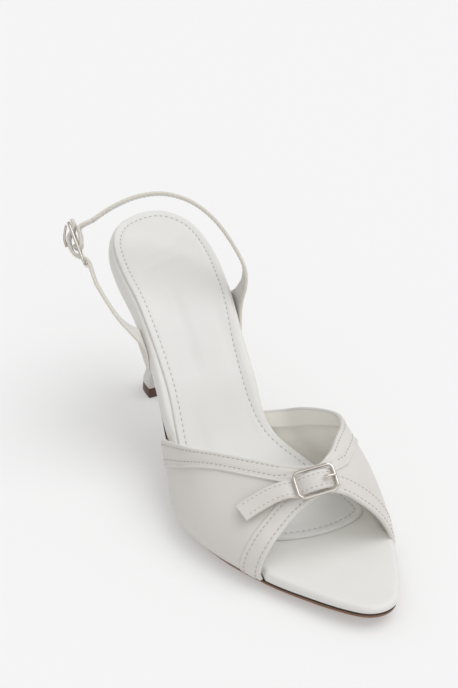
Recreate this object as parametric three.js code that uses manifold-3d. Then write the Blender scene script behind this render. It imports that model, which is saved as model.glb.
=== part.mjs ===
// A right-foot sandal with a pointed toe, a flared heel, a buckled vamp and an ankle strap.
// Millimetres. X is lateral, Y runs from heel to toe, Z is up, and the floor is z = 0.
// While the pieces are shaped, y = 0 is the back of the footbed and x = 0 runs through the tip of the toe.

import * as THREE from "three";
import { mergeVertices } from "three/addons/utils/BufferGeometryUtils.js";
import Module from "manifold-3d";

const wasm = await Module();
wasm.setup();

// Driving sizes of the last
const length = 227;
const ballWidth = 74.4;
const waistWidth = 46.5;
const heelWidth = 50.6;
const seatHeight = 87.7;
const ballHeight = 10.2;
const instepHeight = 49;
const vampRear = 0.43;
const vampFront = 0.825;
const seatTurn = 4.7;

// Driving sizes of the sole
const gap = 0.3;
const seamSlack = 0.12;
const seatBoard = 9.1;
const ballBoard = 4.7;
const toeBoard = 3.3;
const outsoleThickness = 5.8;
const outsoleWaist = 3.4;
const outsoleEdge = 2.2;
const outsoleInset = 0.3;
const outsoleLift = 9;
const rimRound = 2.6;
const rimFlare = 1;
const sockInset = 3.4;
const sockInsetHeel = 1.3;
const sockThickness = 1.4;
const sockFront = 174.5;
const sockFrontRadius = 62;
const seatDish = 2;

// Driving sizes of the heel
const breastLine = 48;
const heelCentre = 2.3;
const liftHeight = 5.5;
const liftWidth = 18;
const liftFront = 31.8;
const liftBack = 17.6;
const stemWidth = 9.2;
const liftSquareness = 3;
const seatSquareness = 2.3;

// Driving sizes of the leather
const upperWall = 1.6;
const bandWidth = 9;
const bandStep = 0.5;
const ridgeHeight = 0.5;
const ridgeWidth = 1.2;
const panelBulge = 4;
const bulgeReach = 0.45;
const bandShare = 0.45;
const rearSlant = 1.45;
const crownBulge = 1.5;
const marginFade = 0.3;
const strapWidth = 7.6;
const strapThickness = 1.5;
const baseWidth = 29;
const tailWidth = 8.4;
const tailThickness = 1.4;

// Driving sizes of the two buckles
const wire = 1.3;
const vampBuckleLength = 18.6;
const vampBuckleWidth = 13;
const ankleBuckleLength = 22;
const ankleBuckleWidth = 13.5;
const buckleCorner = 3.4;
const prongRadius = 0.7;

// The outline seen from above. turn: share of the half turn from heel to toe, of: the width that
// the row follows, lateral and medial: shares of it.
const outlineRows = [
  { turn: 0, of: heelWidth, lateral: 0, medial: 0 },
  { turn: 0.08, of: heelWidth, lateral: 0.3, medial: 0.235 },
  { turn: 0.16, of: heelWidth, lateral: 0.481, medial: 0.399 },
  { turn: 0.24, of: heelWidth, lateral: 0.555, medial: 0.445 },
  { turn: 0.32, of: heelWidth, lateral: 0.577, medial: 0.386 },
  { turn: 0.4, of: waistWidth, lateral: 0.68, medial: 0.32 },
  { turn: 0.48, of: waistWidth, lateral: 0.79, medial: 0.31 },
  { turn: 0.56, of: ballWidth, lateral: 0.6, medial: 0.347 },
  { turn: 0.64, of: ballWidth, lateral: 0.563, medial: 0.421 },
  { turn: 0.72, of: ballWidth, lateral: 0.44, medial: 0.397 },
  { turn: 0.8, of: ballWidth, lateral: 0.292, medial: 0.277 },
  { turn: 0.88, of: ballWidth, lateral: 0.17, medial: 0.158 },
  { turn: 0.95, of: ballWidth, lateral: 0.077, medial: 0.073 },
  { turn: 1, of: ballWidth, lateral: 0, medial: 0 },
];

// The side view. along: share of the length, rise: the rim's share of the climb from ball to seat,
// board: the thickness of the footbed.
const sideRows = [
  { along: 0, rise: 1, board: seatBoard },
  { along: 0.12, rise: 0.881, board: seatBoard },
  { along: 0.25, rise: 0.737, board: seatBoard },
  { along: 0.38, rise: 0.461, board: seatBoard },
  { along: 0.5, rise: 0.144, board: seatBoard },
  { along: 0.6, rise: 0.045, board: 0.6 * seatBoard + 0.4 * ballBoard },
  { along: 0.69, rise: 0, board: ballBoard },
  { along: 0.84, rise: 0, board: ballBoard },
  { along: 1.01, rise: 0.011, board: toeBoard },
];

// The heel, from the lift to the seat. up: share of the height under the seat, half: half width,
// front and back: shares of the breast line.
const heelRows = [
  { up: 0.074, half: liftWidth / 2, front: 0.656, back: 0.371 },
  { up: 0.15, half: 0.78 * stemWidth, front: 0.621, back: 0.404 },
  { up: 0.25, half: 0.59 * stemWidth, front: 0.59, back: 0.442 },
  { up: 0.38, half: 0.5 * stemWidth, front: 0.575, back: 0.458 },
  { up: 0.51, half: 0.5 * stemWidth, front: 0.575, back: 0.454 },
  { up: 0.61, half: 0.67 * stemWidth, front: 0.594, back: 0.421 },
  { up: 0.69, half: 0.19 * heelWidth, front: 0.67, back: 0.352 },
  { up: 0.76, half: 0.3 * heelWidth, front: 0.82, back: 0.265 },
  { up: 0.83, half: 0.41 * heelWidth, front: 1, back: 0.175 },
  { up: 0.91, half: 0.47 * heelWidth, front: 1, back: 0.1 },
  { up: 1.01, half: 0.495 * heelWidth, front: 1, back: 0.045 },
  { up: 1.12, half: 0.5 * heelWidth, front: 1, back: 0.02 },
];

// The two free edges of the upper, from the lateral sole over the throat to the medial sole.
// x: share of half the ball width, y: share of the length, z: share of the instep height.
const rearEdge = [
  { round: 0, x: 1.055, y: 0.43, z: 0.42 },
  { round: 0.06, x: 1.08, y: 0.452, z: 0.569 },
  { round: 0.15, x: 1.062, y: 0.507, z: 0.676 },
  { round: 0.24, x: 0.992, y: 0.553, z: 0.745 },
  { round: 0.32, x: 0.83, y: 0.605, z: 0.814 },
  { round: 0.4, x: 0.6, y: 0.661, z: 0.86 },
  { round: 0.47, x: 0.32, y: 0.713, z: 0.886 },
  { round: 0.53, x: 0.02, y: 0.752, z: 0.935 },
  { round: 0.57, x: -0.16, y: 0.741, z: 0.97 },
  { round: 0.65, x: -0.4, y: 0.706, z: 0.998 },
  { round: 0.72, x: -0.62, y: 0.668, z: 0.996 },
  { round: 0.79, x: -0.75, y: 0.622, z: 0.94 },
  { round: 0.86, x: -0.735, y: 0.562, z: 0.83 },
  { round: 0.92, x: -0.655, y: 0.508, z: 0.71 },
  { round: 0.97, x: -0.56, y: 0.466, z: 0.59 },
  { round: 1, x: -0.5, y: 0.436, z: 0.46 },
];
const frontEdge = [
  { round: 0, x: 0.935, y: 0.813, z: 0.09 },
  { round: 0.06, x: 0.94, y: 0.813, z: 0.16 },
  { round: 0.13, x: 0.905, y: 0.813, z: 0.285 },
  { round: 0.2, x: 0.8, y: 0.81, z: 0.41 },
  { round: 0.3, x: 0.62, y: 0.802, z: 0.52 },
  { round: 0.4, x: 0.4, y: 0.796, z: 0.645 },
  { round: 0.48, x: 0.17, y: 0.797, z: 0.76 },
  { round: 0.54, x: 0, y: 0.8, z: 0.775 },
  { round: 0.6, x: -0.16, y: 0.807, z: 0.735 },
  { round: 0.7, x: -0.38, y: 0.819, z: 0.61 },
  { round: 0.8, x: -0.58, y: 0.83, z: 0.455 },
  { round: 0.88, x: -0.71, y: 0.836, z: 0.3 },
  { round: 0.95, x: -0.775, y: 0.841, z: 0.16 },
  { round: 1, x: -0.775, y: 0.842, z: 0.09 },
];

// The two ankle straps. Each row is a place on the middle line, the way across the strap there
// (0: flat on the side of the footbed, 1: as the slack loop hangs) and the width, as a share of
// the way from the strap's width to that of its base.
const longStrapRows = [
  { x: -20.2, y: 56.4, z: 55.8, hang: 0, flare: 0.95 },
  { x: -20.4, y: 58.2, z: 59, hang: 0, flare: 0.6 },
  { x: -20.7, y: 59.6, z: 63, hang: 0, flare: 0.28 },
  { x: -21.5, y: 61, z: 68, hang: 0.1, flare: 0.06 },
  { x: -22.9, y: 61.8, z: 73.5, hang: 0.3, flare: 0 },
  { x: -23.6, y: 60.3, z: 80, hang: 0.6, flare: 0 },
  { x: -21.6, y: 56, z: 87.6, hang: 0.9, flare: 0 },
  { x: -14.7, y: 45.8, z: 100.9, hang: 1, flare: 0 },
  { x: -6, y: 37.6, z: 108.6, hang: 1, flare: 0 },
  { x: 5, y: 31, z: 111.9, hang: 1, flare: 0 },
  { x: 17, y: 27, z: 110.9, hang: 1, flare: 0 },
  { x: 29, y: 25, z: 106.8, hang: 1, flare: 0 },
  { x: 38.5, y: 24.6, z: 102, hang: 1, flare: 0 },
];
const shortStrapRows = [
  { x: 31.9, y: 65, z: 51.4, hang: 0, flare: 0.6 },
  { x: 32, y: 65.4, z: 54.4, hang: 0, flare: 0.42 },
  { x: 32.6, y: 65.8, z: 57.2, hang: 0.05, flare: 0.25 },
  { x: 34.2, y: 65.4, z: 60.2, hang: 0.25, flare: 0.1 },
  { x: 37, y: 62.6, z: 63.2, hang: 0.55, flare: 0.02 },
  { x: 40.2, y: 57.5, z: 67, hang: 0.85, flare: 0 },
  { x: 42.8, y: 50.5, z: 72.6, hang: 1, flare: 0 },
  { x: 45, y: 43, z: 79.2, hang: 1, flare: 0 },
];

// The free tail of the vamp strap, which lies just off the lateral panel
const tailRows = [
  { x: 17.5, y: 172.8, z: 38.9 },
  { x: 23, y: 170.6, z: 36.6 },
  { x: 29.3, y: 168.9, z: 32.9 },
  { x: 35.6, y: 167.8, z: 29.2 },
];

const point = (x, y, z) => new THREE.Vector3(x, y, z);
const tailAcross = point(0.15, -0.92, 0.35);

// A smooth line through the rows of a table. Unless it is free, it never swings past a row.
function through(rows, at, value, free = false) {
  const last = rows.length - 1;
  const step = (i) => (value(rows[i + 1]) - value(rows[i])) / (rows[i + 1][at] - rows[i][at]);
  const slope = (i) => {
    if (i === 0) return step(0);
    if (i === last) return step(last - 1);
    const before = step(i - 1);
    const after = step(i);
    if (free) {
      const left = rows[i][at] - rows[i - 1][at];
      const right = rows[i + 1][at] - rows[i][at];
      return (before * right + after * left) / (left + right);
    }
    return before * after <= 0 ? 0 : (2 * before * after) / (before + after);
  };
  return (t) => {
    let i = 0;
    while (i < last - 1 && t > rows[i + 1][at]) i += 1;
    const span = rows[i + 1][at] - rows[i][at];
    const u = THREE.MathUtils.clamp((t - rows[i][at]) / span, 0, 1);
    const start = value(rows[i]) * (1 + 2 * u) * (1 - u) ** 2 + slope(i) * span * u * (1 - u) ** 2;
    const end = value(rows[i + 1]) * (3 - 2 * u) * u ** 2 + slope(i + 1) * span * (u - 1) * u ** 2;
    return start + end;
  };
}

const lateralAt = through(outlineRows, "turn", (row) => row.lateral * row.of, true);
const medialAt = through(outlineRows, "turn", (row) => row.medial * row.of, true);
const riseAt = through(sideRows, "along", (row) => row.rise);
const boardAt = through(sideRows, "along", (row) => row.board);

const turnOf = (y) => Math.acos(1 - (2 * THREE.MathUtils.clamp(y, 0, length)) / length) / Math.PI;
const alongOf = (x, y) => (y + x * Math.tan(THREE.MathUtils.degToRad(seatTurn))) / length;

// Heights at a place in plan
function rimHeight(x, y) {
  return ballHeight + (seatHeight - ballHeight) * riseAt(alongOf(x, y));
}

function boardBottom(x, y) {
  return rimHeight(x, y) - boardAt(alongOf(x, y));
}

function footbedTop(x, y) {
  const turn = turnOf(y);
  const lateral = lateralAt(turn);
  const medial = medialAt(turn);
  const half = (lateral + medial) / 2;
  const across = half > 1 ? (x - (lateral - medial) / 2) / half : 0;
  const room = Math.min(1, half / (heelWidth / 2)) ** 2;
  const dish = seatDish * (1 - 0.6 * THREE.MathUtils.smoothstep(y, 0.3 * length, 0.75 * length));
  return rimHeight(x, y) - dish * room * Math.max(0, 1 - across ** 2);
}

const outsoleTop = (x, y) => boardBottom(x, y) - gap - seamSlack;

function outsoleBottom(x, y) {
  const ahead = THREE.MathUtils.smoothstep(alongOf(x, y), 0.35, 0.6);
  return Math.max(0, outsoleTop(x, y) - THREE.MathUtils.lerp(outsoleWaist, outsoleThickness, ahead));
}

// Turns a list of corner points and triangles into one closed mesh.
function geometryOf(points, faces) {
  const geometry = new THREE.BufferGeometry();
  geometry.setAttribute("position", new THREE.Float32BufferAttribute(points.flatMap((p) => p.toArray()), 3));
  geometry.setIndex(faces.flat());
  return geometry;
}

function solidOf(geometry) {
  const plain = geometry.clone();
  plain.deleteAttribute("normal");
  plain.deleteAttribute("uv");
  const merged = mergeVertices(plain, 1e-4);
  const mesh = new wasm.Mesh({
    numProp: 3,
    vertProperties: new Float32Array(merged.attributes.position.array),
    triVerts: new Uint32Array(merged.index.array),
  });
  return new wasm.Manifold(mesh);
}

function geometryFrom(solid) {
  const mesh = solid.getMesh();
  const geometry = new THREE.BufferGeometry();
  geometry.setAttribute("position", new THREE.BufferAttribute(new Float32Array(mesh.vertProperties), 3));
  geometry.setIndex(new THREE.BufferAttribute(new Uint32Array(mesh.triVerts), 1));
  return geometry;
}

// How far the sock stays inside the outline. It comes close to the edge at the heel.
function sockInsetAt(y) {
  const ahead = THREE.MathUtils.smoothstep(y, 0.25 * length, 0.42 * length);
  return THREE.MathUtils.lerp(sockInsetHeel, sockInset, ahead);
}

// How far the footbed steps in under the upper
function recess(y) {
  const behind = THREE.MathUtils.smoothstep(y, vampRear * length - 8, vampRear * length + 8);
  const ahead = 1 - THREE.MathUtils.smoothstep(y, vampFront * length, vampFront * length + 5);
  return (gap + upperWall) * behind * ahead;
}

const noStep = () => 0;

// The outline as a closed loop of plan points, moved outward, counterclockwise from the heel.
// stepIn gives how far it comes in again at each length.
function outlineLoop(steps, outward, stepIn) {
  const side = (turn, lateral) => {
    const y = (length * (1 - Math.cos(Math.PI * turn))) / 2;
    return point(lateral ? lateralAt(turn) : -medialAt(turn), y, 0);
  };
  const loop = [];
  for (let i = 0; i < steps; i += 1) loop.push(side(i / steps, true));
  for (let i = steps; i > 0; i -= 1) loop.push(side(i / steps, false));
  return loop.map((p, i) => {
    const before = loop[(i + loop.length - 1) % loop.length];
    const after = loop[(i + 1) % loop.length];
    const along = after.clone().sub(before).normalize();
    const shift = outward - stepIn(p.y);
    return point(p.x + along.y * shift, p.y - along.x * shift, 0);
  });
}

// A slab between two heights, inside the outline. rings: from the bottom to the top, each with its
// outward shift and its share of the height between bottom and top.
function slab({ steps, across, rings, bottom, top, stepIn = noStep }) {
  const points = [];
  const faces = [];
  const count = 2 * steps;
  for (const ring of rings) {
    for (const p of outlineLoop(steps, ring.outward, stepIn)) {
      const low = bottom(p.x, p.y);
      points.push(point(p.x, p.y, low + ring.share * (top(p.x, p.y) - low)));
    }
  }
  for (let r = 0; r < rings.length - 1; r += 1) {
    for (let i = 0; i < count; i += 1) {
      const a = r * count + i;
      const b = r * count + ((i + 1) % count);
      faces.push([a, b, b + count], [a, b + count, a + count]);
    }
  }
  const cover = (start, height, up) => {
    const rows = [[start]];
    for (let i = 1; i < steps; i += 1) {
      const from = start + i;
      const to = start + count - i;
      const row = [from];
      for (let k = 1; k < across; k += 1) {
        const p = points[from].clone().lerp(points[to], k / across);
        p.z = height(p.x, p.y);
        row.push(points.push(p) - 1);
      }
      row.push(to);
      rows.push(row);
    }
    rows.push([start + steps]);
    for (let i = 0; i < steps; i += 1) {
      for (let k = 0; k < across; k += 1) {
        const a = rows[i][Math.min(k, rows[i].length - 1)];
        const b = rows[i][Math.min(k + 1, rows[i].length - 1)];
        const c = rows[i + 1][Math.min(k + 1, rows[i + 1].length - 1)];
        const d = rows[i + 1][Math.min(k, rows[i + 1].length - 1)];
        if (a !== b) faces.push(up ? [a, c, b] : [a, b, c]);
        if (c !== d) faces.push(up ? [a, d, c] : [a, c, d]);
      }
    }
  };
  cover(0, bottom, false);
  cover((rings.length - 1) * count, top, true);
  return geometryOf(points, faces);
}

// An upright wall with a plan shape, which trims a slab
function prism(shape, low, high) {
  const geometry = new THREE.ExtrudeGeometry(shape, { depth: high - low, bevelEnabled: false, steps: 1 });
  return solidOf(geometry.translate(0, 0, low));
}

// The footbed, a wrapped board with a rounded rim that widens towards the outsole
function footbedSlab(clearance) {
  const round = rimRound;
  return slab({
    steps: 34,
    across: 6,
    stepIn: recess,
    rings: [
      { outward: -1.5 + clearance, share: 0 },
      { outward: rimFlare - 0.5 + clearance, share: 0.1 },
      { outward: rimFlare + clearance, share: 0.3 },
      { outward: 0.55 * rimFlare + clearance, share: 0.68 },
      { outward: -0.1 * round + clearance, share: 0.9 },
      { outward: -0.75 * round + clearance, share: 1 },
    ],
    bottom: (x, y) => boardBottom(x, y) - clearance,
    top: (x, y) => footbedTop(x, y) + clearance,
  });
}

// The padded sock, which ends behind the toe in a line that bows forward
function insoleSock() {
  const sheet = slab({
    steps: 30,
    across: 8,
    stepIn: sockInsetAt,
    rings: [
      { outward: 0, share: 0 },
      { outward: 0, share: 0.5 },
      { outward: -0.5 * sockThickness, share: 1 },
    ],
    bottom: (x, y) => footbedTop(x, y) + gap + seamSlack,
    top: (x, y) => footbedTop(x, y) + gap + sockThickness,
  });
  const middle = (lateralAt(0.68) - medialAt(0.68)) / 2 - 0.13 * ballWidth;
  const keep = new THREE.Shape();
  keep.moveTo(-length, -length);
  keep.lineTo(length, -length);
  keep.lineTo(middle + sockFrontRadius, sockFront - sockFrontRadius);
  keep.absarc(middle, sockFront - sockFrontRadius, sockFrontRadius, 0, Math.PI, false);
  keep.closePath();
  const trimmed = solidOf(sheet).intersect(prism(keep, -length, length));
  return geometryFrom(trimmed.subtract(solidOf(footbedSlab(gap))));
}

// The outsole, from the toe to the heel breast, with an edge that rises a little from the floor
function outsoleSlab(clearance) {
  const edgeShare = 1 - outsoleEdge / outsoleThickness;
  return slab({
    steps: 30,
    across: 6,
    rings: [
      { outward: -outsoleInset - outsoleLift + clearance, share: 0 },
      { outward: -outsoleInset - 0.4 * outsoleLift + clearance, share: 0.55 * edgeShare },
      { outward: -outsoleInset - 0.6 + clearance, share: edgeShare },
      { outward: -outsoleInset + clearance, share: edgeShare + 0.1 },
      { outward: -outsoleInset + clearance, share: 1 },
    ],
    bottom: (x, y) => outsoleBottom(x, y) - clearance,
    top: (x, y) => outsoleTop(x, y) + clearance,
  });
}

function outsole() {
  const keep = new THREE.Shape();
  keep.moveTo(-length, breastLine + gap);
  keep.lineTo(length, breastLine + gap);
  keep.lineTo(length, 2 * length);
  keep.lineTo(-length, 2 * length);
  keep.closePath();
  const trimmed = solidOf(outsoleSlab(0)).intersect(prism(keep, -length, length));
  return geometryFrom(trimmed.subtract(solidOf(footbedSlab(gap))));
}

// Sections on a stack of levels, each flat at the front and round behind
function dSections(levels, steps) {
  const points = [];
  const faces = [];
  for (const level of levels) {
    for (let i = 0; i <= steps; i += 1) {
      const angle = (Math.PI * i) / steps;
      const x = level.half * Math.sign(Math.cos(angle)) * Math.abs(Math.cos(angle)) ** (2 / level.square);
      const y = (level.front - level.back) * Math.sin(angle) ** (2 / level.square);
      points.push(point(level.middle - x, level.front - y, level.z));
    }
  }
  const count = steps + 1;
  for (let r = 0; r < levels.length - 1; r += 1) {
    for (let i = 0; i < count; i += 1) {
      const a = r * count + i;
      const b = r * count + ((i + 1) % count);
      faces.push([a, b, b + count], [a, b + count, a + count]);
    }
  }
  const top = (levels.length - 1) * count;
  for (let i = 1; i < steps; i += 1) {
    faces.push([0, i + 1, i], [top, top + i, top + i + 1]);
  }
  return geometryOf(points, faces);
}

const seatMiddle = (0.555 - 0.445) * 0.5 * heelWidth;

function heel() {
  const under = seatHeight - seatBoard;
  const half = through(heelRows, "up", (row) => row.half);
  const front = through(heelRows, "up", (row) => row.front * breastLine);
  const back = through(heelRows, "up", (row) => row.back * breastLine);
  const levels = [];
  const low = (liftHeight + gap) / under;
  const high = heelRows[heelRows.length - 1].up;
  const count = 22;
  for (let i = 0; i <= count; i += 1) {
    const up = low + ((high - low) * i) / count;
    const spread = THREE.MathUtils.smoothstep(up, 0.5, 1);
    const rounding = THREE.MathUtils.smoothstep(up, 0.1, 0.6);
    const middle = THREE.MathUtils.lerp(heelCentre, seatMiddle, spread);
    const square = THREE.MathUtils.lerp(liftSquareness, seatSquareness, rounding);
    levels.push({ z: up * under, half: half(up), front: front(up), back: back(up), middle, square });
  }
  const above = slab({
    steps: 24,
    across: 4,
    rings: [
      { outward: 12, share: 0 },
      { outward: 12, share: 1 },
    ],
    bottom: (x, y) => boardBottom(x, y) - gap,
    top: (x, y) => boardBottom(x, y) + 3 * seatBoard,
  });
  const column = solidOf(dSections(levels, 20));
  return geometryFrom(column.subtract(solidOf(above)));
}

function topLift() {
  const level = (z, grow) => ({
    z,
    half: liftWidth / 2 + grow,
    front: liftFront + grow,
    back: liftBack - grow,
    middle: heelCentre,
    square: liftSquareness,
  });
  return dSections([level(0, 0), level(liftHeight, -0.3)], 20);
}

// Trims a leather piece so that it lies against the footbed and the outsole.
function clearOfSole(geometry) {
  const sole = solidOf(footbedSlab(gap)).add(solidOf(outsoleSlab(gap)));
  return geometryFrom(solidOf(geometry).subtract(sole));
}

// The outer face of the upper where it meets the sole, at a length from the heel
function soleMargin(lateral, y) {
  const turn = turnOf(y);
  const side = lateral ? lateralAt : medialAt;
  const widening = (side(turnOf(y + 1)) - side(turnOf(y - 1))) / 2;
  const outward = point(1, -widening, 0).normalize().multiplyScalar(rimFlare);
  const x = side(turn) + outward.x;
  const place = point(lateral ? x : -x, y + outward.y, 0);
  place.z = outsoleTop(place.x, place.y) + gap;
  return place;
}

// The upper's face. round: 0 at the lateral sole, 1 at the medial sole, along: 0 at the rear edge,
// 1 at the front edge. Both ends of an edge lie on the margin.
function edgeCurve(rows) {
  const last = rows.length - 1;
  const placed = rows.map((row, i) => {
    const place = point((row.x * ballWidth) / 2, row.y * length, row.z * instepHeight);
    if (i === 0 || i === last) place.copy(soleMargin(i === 0, place.y));
    return { round: row.round, x: place.x, y: place.y, z: place.z };
  });
  const x = through(placed, "round", (row) => row.x, true);
  const y = through(placed, "round", (row) => row.y, true);
  const z = through(placed, "round", (row) => row.z, true);
  return (round) => point(x(round), y(round), z(round));
}

const rearCurve = edgeCurve(rearEdge);
const frontCurve = edgeCurve(frontEdge);

function upperFace(round, along) {
  const face = rearCurve(round).lerp(frontCurve(round), along);
  for (const lateral of [true, false]) {
    const near = lateral ? round : 1 - round;
    const fade = 1 - THREE.MathUtils.smoothstep(near, 0, marginFade);
    const rear = rearCurve(lateral ? 0 : 1);
    const front = frontCurve(lateral ? 0 : 1);
    const straight = rear.lerp(front, along);
    const margin = soleMargin(lateral, straight.y);
    face.add(margin.sub(straight).multiplyScalar(fade));
  }
  const middle = Math.sin(Math.PI * along);
  const near = Math.min(round, 1 - round);
  const reach = Math.min(1, near / bulgeReach);
  const low = (27 / 4) * reach * (1 - reach) ** 2;
  const high = Math.sin(2 * Math.PI * near);
  face.x += Math.sign(0.53 - round) * panelBulge * middle * low;
  face.z += crownBulge * middle * high;
  return face;
}

function upperNormal(round, along) {
  const d = 0.004;
  const r0 = Math.max(0, round - d);
  const r1 = Math.min(1, round + d);
  const a0 = Math.max(0, along - d);
  const a1 = Math.min(1, along + d);
  const tangent = upperFace(r1, along).sub(upperFace(r0, along));
  return tangent.cross(upperFace(round, a1).sub(upperFace(round, a0))).normalize().negate();
}

// How far the rear band reaches along the wall. The wall is slanted to it beyond the lateral foot.
function rearReach(round, width) {
  return width * THREE.MathUtils.lerp(1, rearSlant, THREE.MathUtils.smoothstep(round, 0.1, 0.36));
}

// The upper's wall, with a raised band along each free edge and a ridge along the rear band
function upper() {
  const rounds = 46;
  const points = [];
  const faces = [];
  let columns = 0;
  for (let i = 0; i <= rounds; i += 1) {
    const round = i / rounds;
    const width = upperFace(round, 0).distanceTo(upperFace(round, 1));
    const rearBand = Math.min(bandShare, rearReach(round, bandWidth) / width);
    const frontBand = Math.min(bandShare, bandWidth / width);
    const ridge = Math.min(0.06, rearReach(round, ridgeWidth) / width);
    const panelEnd = 1 - frontBand - 0.2 * ridge;
    const rows = [
      { along: 0, raise: bandStep },
      { along: rearBand, raise: bandStep },
      { along: rearBand + 0.5 * ridge, raise: bandStep + ridgeHeight },
      { along: rearBand + ridge, raise: 0 },
      ...[0.25, 0.5, 0.75].map((share) => ({
        along: THREE.MathUtils.lerp(rearBand + ridge, panelEnd, share),
        raise: 0,
      })),
      { along: panelEnd, raise: 0 },
      { along: 1 - frontBand, raise: bandStep },
      { along: 1, raise: bandStep },
    ];
    columns = rows.length;
    for (const row of rows) {
      const normal = upperNormal(round, row.along);
      const face = upperFace(round, row.along);
      points.push(face.clone().addScaledVector(normal, row.raise));
      points.push(face.clone().addScaledVector(normal, -upperWall));
    }
  }
  const index = (i, k, inner) => 2 * (i * columns + k) + (inner ? 1 : 0);
  const quad = (a, b, c, d) => faces.push([a, b, c], [a, c, d]);
  for (let i = 0; i < rounds; i += 1) {
    for (let k = 0; k < columns - 1; k += 1) {
      quad(index(i, k), index(i, k + 1), index(i + 1, k + 1), index(i + 1, k));
      quad(index(i, k, true), index(i + 1, k, true), index(i + 1, k + 1, true), index(i, k + 1, true));
    }
    quad(index(i, 0), index(i + 1, 0), index(i + 1, 0, true), index(i, 0, true));
    const k = columns - 1;
    quad(index(i, k), index(i, k, true), index(i + 1, k, true), index(i + 1, k));
  }
  for (let k = 0; k < columns - 1; k += 1) {
    quad(index(0, k), index(0, k, true), index(0, k + 1, true), index(0, k + 1));
    const i = rounds;
    quad(index(i, k), index(i, k + 1), index(i, k + 1, true), index(i, k, true));
  }
  return clearOfSole(geometryOf(points, faces));
}

// A flat strap. rows: places, ways across and widths from one end to the other.
function ribbon(rows, thickness) {
  const points = [];
  const faces = [];
  rows.forEach((row, i) => {
    const before = rows[Math.max(0, i - 1)].place;
    const after = rows[Math.min(rows.length - 1, i + 1)].place;
    const along = after.clone().sub(before).normalize();
    const across = row.across.clone().normalize();
    const normal = along.clone().cross(across).normalize();
    for (const [side, face] of [[-1, -1], [1, -1], [1, 1], [-1, 1]]) {
      const corner = row.place.clone().addScaledVector(across, (side * row.width) / 2);
      points.push(corner.addScaledVector(normal, (face * thickness) / 2));
    }
  });
  const last = 4 * (rows.length - 1);
  for (let i = 0; i < last; i += 4) {
    for (let k = 0; k < 4; k += 1) {
      const a = i + k;
      const b = i + ((k + 1) % 4);
      faces.push([a, b, b + 4], [a, b + 4, a + 4]);
    }
  }
  faces.push([0, 2, 1], [0, 3, 2], [last, last + 1, last + 2], [last, last + 2, last + 3]);
  return geometryOf(points, faces);
}

// A buckle's own frame: middle, the way along the strap, across it, and out of it
function placed(origin, along, across) {
  const x = along.clone().normalize();
  const y = across.clone().addScaledVector(x, -across.dot(x)).normalize();
  const z = x.clone().cross(y);
  return { origin, x, y, z };
}

const inFrame = (frame, a, b, c) =>
  frame.origin.clone().addScaledVector(frame.x, a).addScaledVector(frame.y, b).addScaledVector(frame.z, c);

const frameMatrix = (frame) =>
  new THREE.Matrix4().makeBasis(frame.x, frame.y, frame.z).setPosition(frame.origin);

function roundedRectangle(path, halfLength, halfWidth, radius) {
  path.moveTo(halfLength, halfWidth - radius);
  path.absarc(halfLength - radius, halfWidth - radius, radius, 0, Math.PI / 2, false);
  path.absarc(radius - halfLength, halfWidth - radius, radius, Math.PI / 2, Math.PI, false);
  path.absarc(radius - halfLength, radius - halfWidth, radius, Math.PI, 1.5 * Math.PI, false);
  path.absarc(halfLength - radius, radius - halfWidth, radius, 1.5 * Math.PI, 2 * Math.PI, false);
  path.closePath();
  return path;
}

// A rounded frame of flat wire, with a bar across it where bar is given
function buckleFrame(lengthAlong, widthAcross, bar) {
  const outer = roundedRectangle(new THREE.Shape(), lengthAlong / 2, widthAcross / 2, buckleCorner);
  const inner = roundedRectangle(
    new THREE.Path(), lengthAlong / 2 - wire, widthAcross / 2 - wire, buckleCorner - wire,
  );
  outer.holes.push(inner);
  const rim = { depth: wire, bevelEnabled: false, curveSegments: 5, steps: 1 };
  let solid = solidOf(new THREE.ExtrudeGeometry(outer, rim).translate(0, 0, -wire / 2));
  if (bar !== null) {
    const rod = new THREE.CylinderGeometry(wire / 2, wire / 2, widthAcross - wire, 8);
    solid = solid.add(solidOf(rod.translate(bar, 0, 0)));
  }
  return geometryFrom(solid);
}

const hangAcross = point(0.43, 0.74, 0.52);
const baseAcross = { long: point(0.17, 0.93, -0.35), short: point(0.06, 0.82, -0.57) };

function strapRows(rows, flat, samples) {
  const places = rows.map((row) => point(row.x, row.y, row.z));
  const curve = new THREE.CatmullRomCurve3(places, false, "centripetal");
  const indexed = rows.map((row, i) => ({ at: i / (rows.length - 1), ...row }));
  const hang = through(indexed, "at", (row) => row.hang);
  const flare = through(indexed, "at", (row) => row.flare);
  return Array.from({ length: samples + 1 }, (_, i) => {
    const at = i / samples;
    return {
      place: curve.getPoint(at),
      across: flat.clone().lerp(hangAcross, hang(at)),
      width: strapWidth + (baseWidth - strapWidth) * flare(at),
    };
  });
}

// The ankle buckle stands on edge at the lateral side of the loop.
const ankleFrame = placed(point(47.6, 28.2, 93), point(-0.07, 0.7, -0.715), hangAcross);
const barReach = wire / 2 + gap + strapThickness / 2;

// The long strap runs to the middle bar, turns round it and comes back against itself.
function ankleStrapLong() {
  const rows = strapRows(longStrapRows, baseAcross.long, 44);
  const across = ankleFrame.y;
  const back = barReach + 0.2;
  const add = (a, c) => rows.push({ place: inFrame(ankleFrame, a, 0, c), across, width: strapWidth });
  add(-7, -3.4);
  add(-3.4, -back - 0.9);
  for (let k = 0; k <= 6; k += 1) {
    const angle = (Math.PI * k) / 6;
    add(barReach * Math.sin(angle), -barReach * Math.cos(angle));
  }
  return clearOfSole(ribbon(rows, strapThickness));
}

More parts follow.
